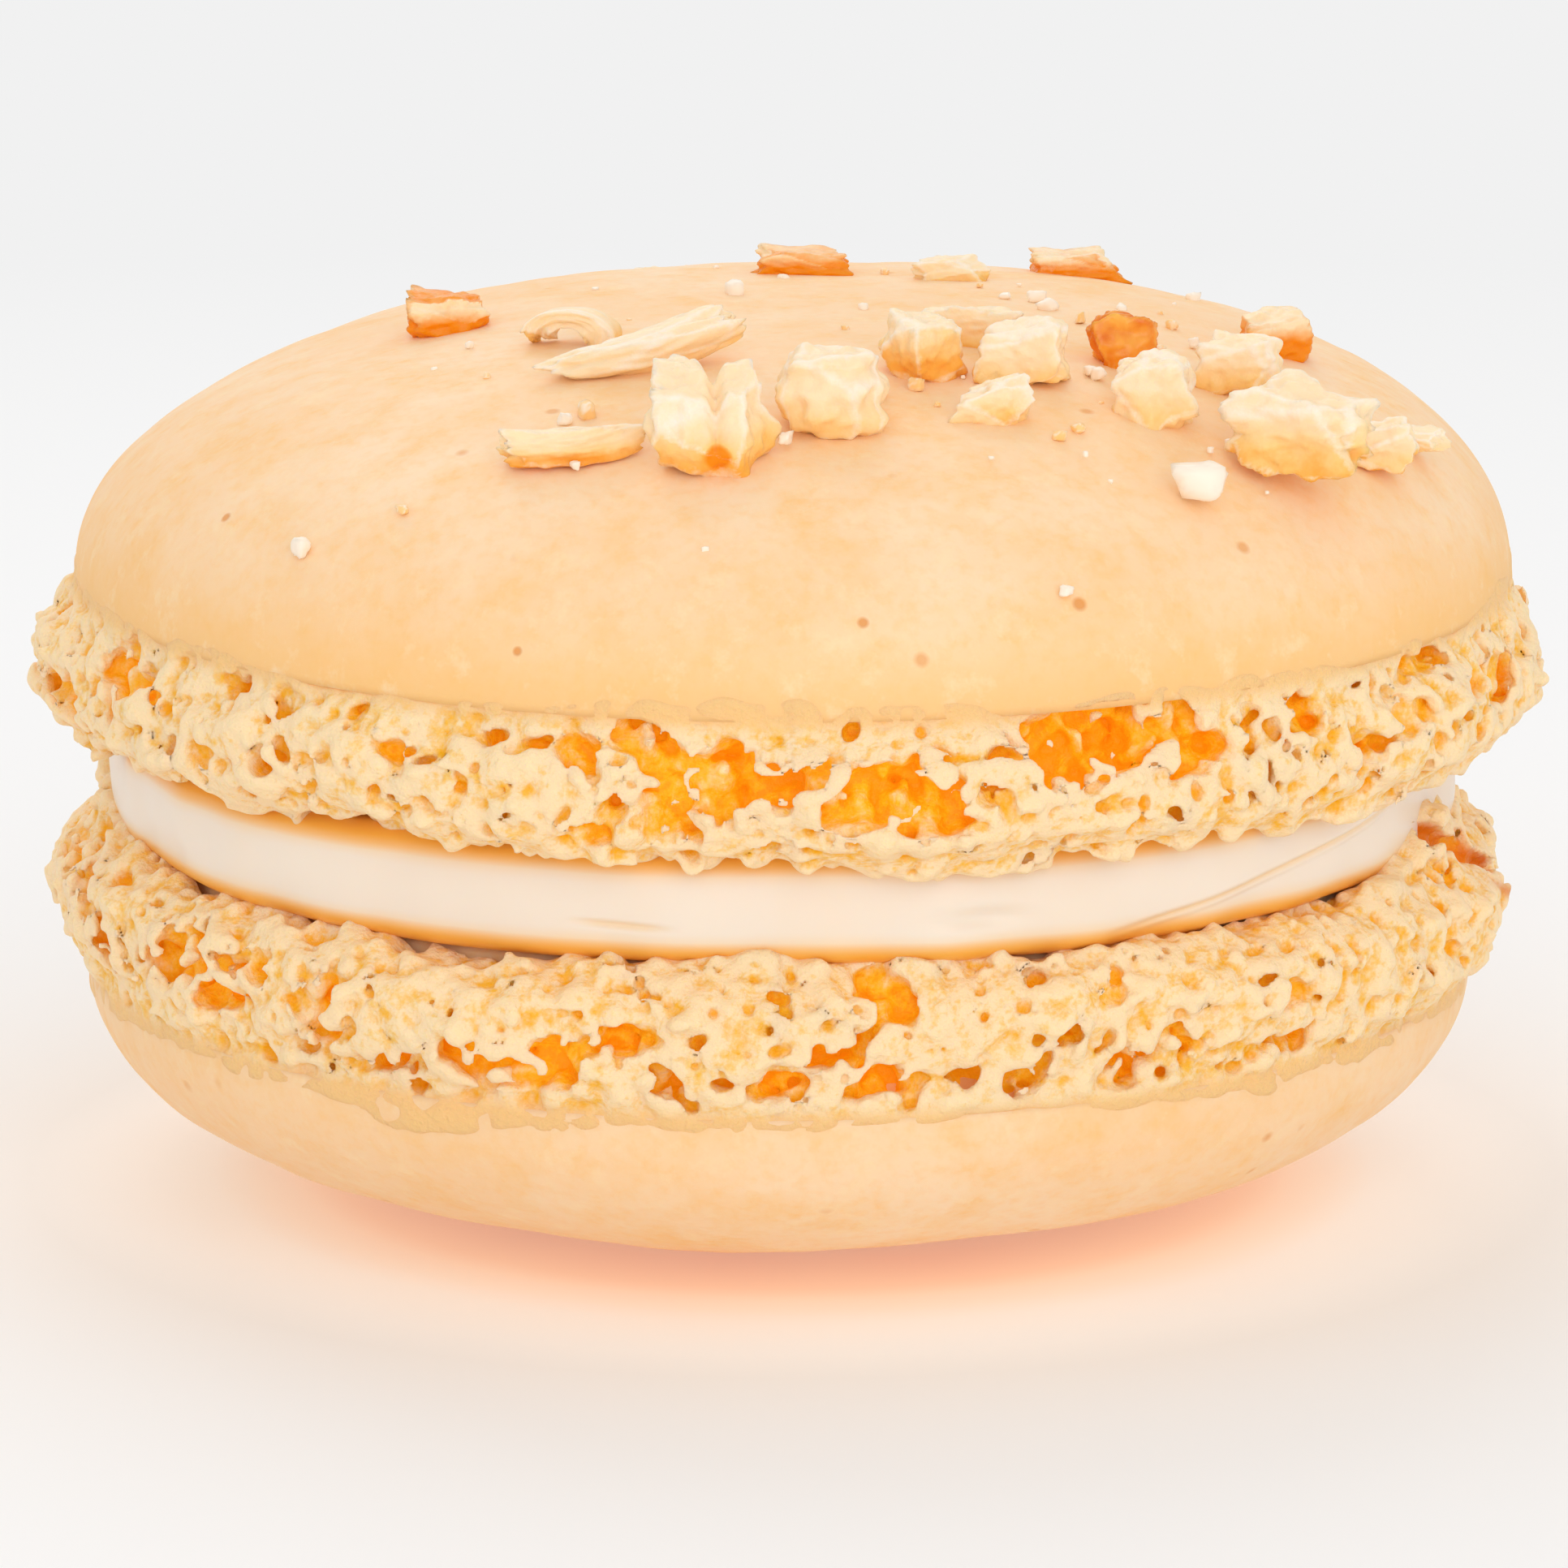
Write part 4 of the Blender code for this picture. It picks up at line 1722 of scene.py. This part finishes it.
@dataclass
class Crumbs:
    """Crumbs of one kind, joined in one piece: those listed and small ones near the nuts."""

    topping: Topping
    name: str
    placed: tuple[Crumb, ...]
    scattered: int
    least: float
    most: float
    seed: int

    def spots(self) -> list[Crumb]:
        """All crumbs: the scattered ones fall in a rough heap round the topping's middle.

        Returns:
            The crumbs.
        """
        rng = np.random.default_rng(self.seed)
        made = list(self.placed)
        while len(made) < len(self.placed) + self.scattered:
            x, y = rng.normal((5.5, -5.0), (9.0, 8.5))
            if math.hypot(x, y) < 20.5:
                size = self.least + (self.most - self.least) * rng.uniform() ** 2
                made.append(Crumb(float(x), float(y), float(size), float(rng.uniform(0.5, 0.9))))
        return made

    def build(self, slot: str, finish: bpy.types.Material) -> None:
        """Make the piece.

        Args:
            slot: The record's material slot; not used.
            finish: Its finish.
        """
        coarse = Topping(self.topping.dome, columns=18, rows=11, sunk=0.15)
        skins = []
        for number, crumb in enumerate(self.spots()):
            size = (crumb.size, crumb.size * 0.75, crumb.size * crumb.flat)
            nut = Nut(f"{self.name}_{number}", size, 137.0 * number, rough=0.03)
            skins.append(coarse.placed(nut, (crumb.x, crumb.y, 0.0)))
        piece = joined(skins).make(self.name, finish)
        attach(piece, BODY)


# ---------------------------------------------------------------- stage


@dataclass
class Stage:
    """The floor, the light and the camera."""

    elevation: float = 13.1
    distance: float = 340.0
    target: tuple[float, float, float] = (-0.29, 0.0, 12.8)
    frame_width: float = 51.04
    floor_size: float = 6000.0
    backdrop: float = 0.88
    # Strength of the painted glow under the piece.
    under_glow: float = 0.22

    def floor(self) -> None:
        """A wide white floor, with a painted warm shadow under the piece and a painted glow there that stands in for
        the light a white table sends back.
        """
        half = self.floor_size / 2
        points = np.array([[-half, -half, 0], [half, -half, 0], [half, half, 0], [-half, half, 0]], float)
        mix = Recipe("white_floor", Roughness=0.7, Specular_IOR_Level=0.2, Emission_Strength=self.under_glow)
        away = mix.node("VectorMath", {"operation": "LENGTH"}, out="Value", Vector=mix.place()) / MM
        white = (0.94, 0.935, 0.93, 1.0)
        # Painted shadow: the floor turns warm, then orange, towards the piece, in place of its orange-tinted shade.
        colour = mix.blend(away.above(19.0, 15.0), white, srgb(254, 222, 180))
        colour = mix.blend(away.above(16.5, 12.0), colour, srgb(253, 200, 124))
        black, full = (0.0, 0.0, 0.0, 1.0), (1.0, 1.0, 1.0, 1.0)
        # Painted light: the floor under the piece emits white, lightening the shade there.
        under = mix.blend(away.above(25.0, 16.0), black, full)
        mix.feed(Base_Color=colour, Emission_Color=under)
        glow = mix.tree.nodes.new("ShaderNodeEmission")
        glow.inputs["Color"].default_value = (self.backdrop,) * 3 + (1.0,)
        far = away.above(60.0, 170.0) * mix.node("LightPath", out="Is Camera Ray")
        mixer = mix.tree.nodes.new("ShaderNodeMixShader")
        output = next(n for n in mix.tree.nodes if n.type == "OUTPUT_MATERIAL")
        for slot, source in ((0, far.socket), (1, mix.shader.outputs[0]), (2, glow.outputs[0])):
            mix.tree.links.new(source, mixer.inputs[slot])
        mix.tree.links.new(mixer.outputs[0], output.inputs["Surface"])
        Skin(points, np.array([[0, 1, 2, 3]])).make("floor", mix.material)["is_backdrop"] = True

    def light(self) -> None:
        """A white world and two soft white lamps."""
        world = bpy.data.worlds.new("studio")
        bpy.context.scene.world = world
        world.use_nodes = True
        tree = world.node_tree
        tree.nodes.clear()
        path = tree.nodes.new("ShaderNodeLightPath")
        output = tree.nodes.new("ShaderNodeOutputWorld")
        mixer = tree.nodes.new("ShaderNodeMixShader")
        seen = Signal(tree, path.outputs["Is Camera Ray"]) + Signal(tree, path.outputs["Is Glossy Ray"])
        seen = (seen + Signal(tree, path.outputs["Is Transmission Ray"])).bounded()
        tree.links.new(seen.socket, mixer.inputs[0])
        for slot, level in ((1, 0.84), (2, self.backdrop)):
            glow = tree.nodes.new("ShaderNodeBackground")
            glow.inputs["Color"].default_value = (level, level, level, 1.0)
            tree.links.new(glow.outputs[0], mixer.inputs[slot])
        tree.links.new(mixer.outputs[0], output.inputs["Surface"])
        for name, place, size, power in (
            ("back_window", (-60.0, 240.0, 260.0), 260.0, 0.2),
            ("front_fill", (60.0, -300.0, 110.0), 260.0, 0.24),
        ):
            lamp = bpy.data.lights.new(name, "AREA")
            lamp.shape = "DISK"
            lamp.size = size * MM
            lamp.energy = power
            lamp.color = (1.0, 1.0, 1.0)
            piece = bpy.data.objects.new(name, lamp)
            piece.location = [v * MM for v in place]
            aim = Vector([v * MM for v in self.target]) - piece.location
            piece.rotation_euler = aim.to_track_quat("-Z", "Y").to_euler()
            bpy.context.scene.collection.objects.link(piece)

    def camera(self) -> None:
        """A long lens, a little above the table, square to the front."""
        lens = bpy.data.cameras.new("view")
        lens.sensor_fit = "HORIZONTAL"
        lens.angle = 2.0 * math.atan(0.5 * self.frame_width / self.distance)
        lens.clip_start, lens.clip_end = 0.01, 20.0
        eye = bpy.data.objects.new("view", lens)
        tilt = math.radians(self.elevation)
        x, y, z = self.target
        eye.location = [
            x * MM,
            (y - self.distance * math.cos(tilt)) * MM,
            (z + self.distance * math.sin(tilt)) * MM,
        ]
        eye.rotation_euler = (math.pi / 2 - tilt, 0.0, 0.0)
        bpy.context.scene.collection.objects.link(eye)
        bpy.context.scene.camera = eye

    def build(self) -> None:
        """Set the stage."""
        self.floor()
        self.light()
        self.camera()
        bpy.context.scene.view_settings.view_transform = "Standard"


# ---------------------------------------------------------------- the macaron

UPPER_HOLLOWS = (
    Hollow(-63.0, 0.5, 1.2, 0.9, 1.1),
    Hollow(-58.8, 1.1, 0.8, 0.9, 1.0),
    Hollow(-46.4, 0.7, 1.3, 0.8, 1.1),
    Hollow(-36.0, 0.6, 0.9, 0.35, 0.7),
    Hollow(-21.0, 1.15, 1.9, 1.0, 1.5),
    Hollow(-11.0, 0.7, 1.6, 0.8, 1.3),
    Hollow(-9.6, 1.6, 1.4, 1.7, 1.5),
    Hollow(-9.5, 2.95, 1.2, 1.2, 1.2),
    Hollow(-2.8, 1.85, 3.5, 2.2, 2.0),
    Hollow(7.0, 2.1, 3.8, 2.4, 2.0),
    Hollow(15.5, 1.1, 1.6, 1.5, 1.6),
    Hollow(20.0, 1.2, 3.0, 2.0, 2.1),
    Hollow(27.5, 1.0, 4.4, 2.1, 2.1),
    Hollow(40.0, 0.95, 2.6, 1.0, 1.4),
    Hollow(49.0, 2.2, 2.0, 0.8, 1.0),
    Hollow(58.0, 0.5, 3.0, 0.5, 0.8),
)

LOWER_HOLLOWS = (
    Hollow(-55.3, 3.2, 2.4, 0.8, 1.0),
    Hollow(-50.8, 2.4, 2.2, 1.7, 1.5),
    Hollow(-37.8, 2.6, 1.3, 2.0, 1.5),
    Hollow(-30.4, 1.35, 2.5, 1.0, 1.4),
    Hollow(-20.9, 1.75, 3.6, 1.5, 1.8),
    Hollow(-12.3, 2.5, 1.3, 0.8, 1.2),
    Hollow(-7.4, 1.15, 2.4, 1.3, 1.8),
    Hollow(0.1, 1.0, 1.5, 0.9, 1.5),
    Hollow(4.5, 2.3, 1.7, 1.4, 1.6),
    Hollow(7.8, 1.0, 2.2, 1.2, 1.7),
    Hollow(9.5, 3.6, 1.2, 0.9, 1.0),
    Hollow(16.6, 1.2, 2.2, 2.0, 1.9),
    Hollow(22.5, 2.4, 1.8, 0.7, 1.1),
    Hollow(29.8, 1.35, 2.5, 1.6, 1.8),
    Hollow(44.5, 1.0, 1.1, 1.0, 1.2),
)

NUTS = (
    Nut("nut_curl", (3.0, 2.0, 1.9), -20.0, Form.CURL, 0.4),
    Nut("nut_amber_left", (2.5, 1.9, 1.4), 10.0, Form.CHUNK, 0.8, 0.8),
    Nut("nut_sliver", (5.8, 1.9, 1.3), 14.0, Form.SLIVER, 0.1, 0.0, 12.0),
    Nut("nut_flake", (4.2, 1.7, 1.0), 8.0, Form.SLIVER, 0.5, 0.2, 4.0),
    Nut("nut_upright", (3.3, 2.4, 3.3), 5.0, Form.CLEFT, 0.3),
    Nut("nut_large", (3.4, 3.2, 2.8), -12.0, Form.BARREL, 0.1),
    Nut("nut_half", (2.5, 2.4, 2.4), 30.0, Form.CHUNK, 0.8),
    Nut("nut_long", (3.0, 1.5, 1.4), -25.0, Form.CHUNK, 0.4),
    Nut("nut_facet", (2.8, 2.2, 2.0), -10.0, Form.CHUNK, 0.2),
    Nut("nut_grain", (2.2, 1.7, 1.5), 0.0, Form.CHUNK, 0.4),
    Nut("nut_skin", (2.2, 1.2, 2.0), 15.0, Form.CHUNK, 1.0, 1.0),
    Nut("nut_round", (2.6, 2.5, 2.4), 0.0, Form.CHUNK, 0.1),
    Nut("nut_pale", (2.5, 1.8, 1.8), -15.0, Form.CHUNK, 0.0),
    Nut("nut_amber_right", (2.4, 1.8, 1.6), 20.0, Form.CHUNK, 0.8, 0.8),
    Nut("nut_rough", (4.4, 3.0, 2.5), -28.0, Form.CHUNK, 0.4, 0.0, 0.0, 0.075),
    Nut("nut_yellow", (2.0, 1.6, 1.6), 10.0, Form.CHUNK, 0.4),
    Nut("nut_chip", (1.7, 1.3, 0.8), -35.0, Form.CHUNK, 0.1),
    Nut("nut_ridge_left", (3.1, 1.6, 0.9), 0.0, Form.CHUNK, 0.8, 0.8),
    Nut("nut_ridge_middle", (2.4, 1.5, 0.9), 15.0, Form.CHUNK, 0.4),
    Nut("nut_ridge_right", (3.1, 1.6, 1.1), 8.0, Form.CHUNK, 0.8, 0.8),
    Nut("nut_back_left", (2.6, 2.0, 1.4), 40.0, Form.CHUNK, 0.2),
    Nut("nut_back_right", (2.9, 1.9, 1.4), -30.0, Form.CHUNK, 0.4),
)


WHITE_CRUMBS = (
    Crumb(12.5, -15.7, 1.7, 0.75),
    Crumb(-15.2, -15.7, 0.65, 0.9),
    Crumb(-7.1, -12.7, 0.6),
    Crumb(8.2, 0.8, 0.7),
    Crumb(7.9, 2.2, 0.6),
    Crumb(9.6, -8.6, 0.5),
    Crumb(-1.9, 3.0, 0.8, 0.8),
    Crumb(8.3, -20.6, 0.5),
)

AMBER_CRUMBS = (
    Crumb(1.7, -10.2, 0.9, 0.5),
    Crumb(2.5, -11.4, 0.9, 0.5),
    Crumb(-6.4, -12.2, 0.8),
    Crumb(-3.4, -10.8, 0.8),
)


def main() -> None:
    """Build the macaron, its topping and its stage."""
    logging.basicConfig(level=logging.INFO, format="%(name)s: %(message)s")
    baked = Baked()
    upper = Dome("upper_shell", 0.0, 20.1, 15.5, 23.2, 8.35, 1.0, 11, tilt=0.012)
    lower = Dome("lower_shell", -0.45, 7.45, 12.1, 22.5, 7.45, -1.0, 12)
    pinholes = (
        Pinhole((-8.4, -21.3, 21.9), 0.25),
        Pinhole((8.7, -20.5, 23.2), 0.4),
        Pinhole((2.1, -22.3, 23.0), 0.3),
        Pinhole((-17.7, -11.9, 24.1), 0.3),
    )
    upper.build("upper_cap", baked.cap("upper_skin", 0.85, pinholes))
    lower.build("lower_cap", baked.cap("lower_skin", 0.15, ()))
    crumb = baked.foot("open_crumb")
    Foot(
        upper,
        24.0,
        21,
        (Lobe(-86.0, 14.0, 0.3, 0.3), Lobe(20.0, 16.0, 0.2), Lobe(190.0, 20.0, 0.2, 0.4)),
        UPPER_HOLLOWS,
        (66.0, 292.0),
    ).build("upper_foot", crumb)
    FoldedFoot(
        lower,
        23.2,
        22,
        (Lobe(-97.0, 15.0, 0.5, 1.6), Lobe(75.0, 9.5, 0.7, 2.0, 0.2, 0.5), Lobe(150.0, 18.0, 0.3, 0.5)),
        LOWER_HOLLOWS,
        (84.0, 298.0),
    ).build("lower_foot", crumb)
    Filling("filling", -0.2, 12.1, 15.5, 21.4).build(Creamy().material("cream"))
    topping, nutty = Topping(upper), Nutty()
    topping.build(NUTS, nutty)
    Crumbs(topping, "white_crumbs", WHITE_CRUMBS, 46, 0.16, 0.5, 41).build(
        "nut_kernel", nutty.crumb_of("white_crumb", nutty.frost)
    )
    Crumbs(topping, "amber_crumbs", AMBER_CRUMBS, 22, 0.18, 0.55, 42).build(
        "nut_amber", nutty.crumb_of("amber_crumb", nutty.golden)
    )
    Stage().build()
    for line in ("cad", CAD_BOX), ("visual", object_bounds()):
        log.info("%s box: %s", *line)


if __name__ == "__main__":
    main()
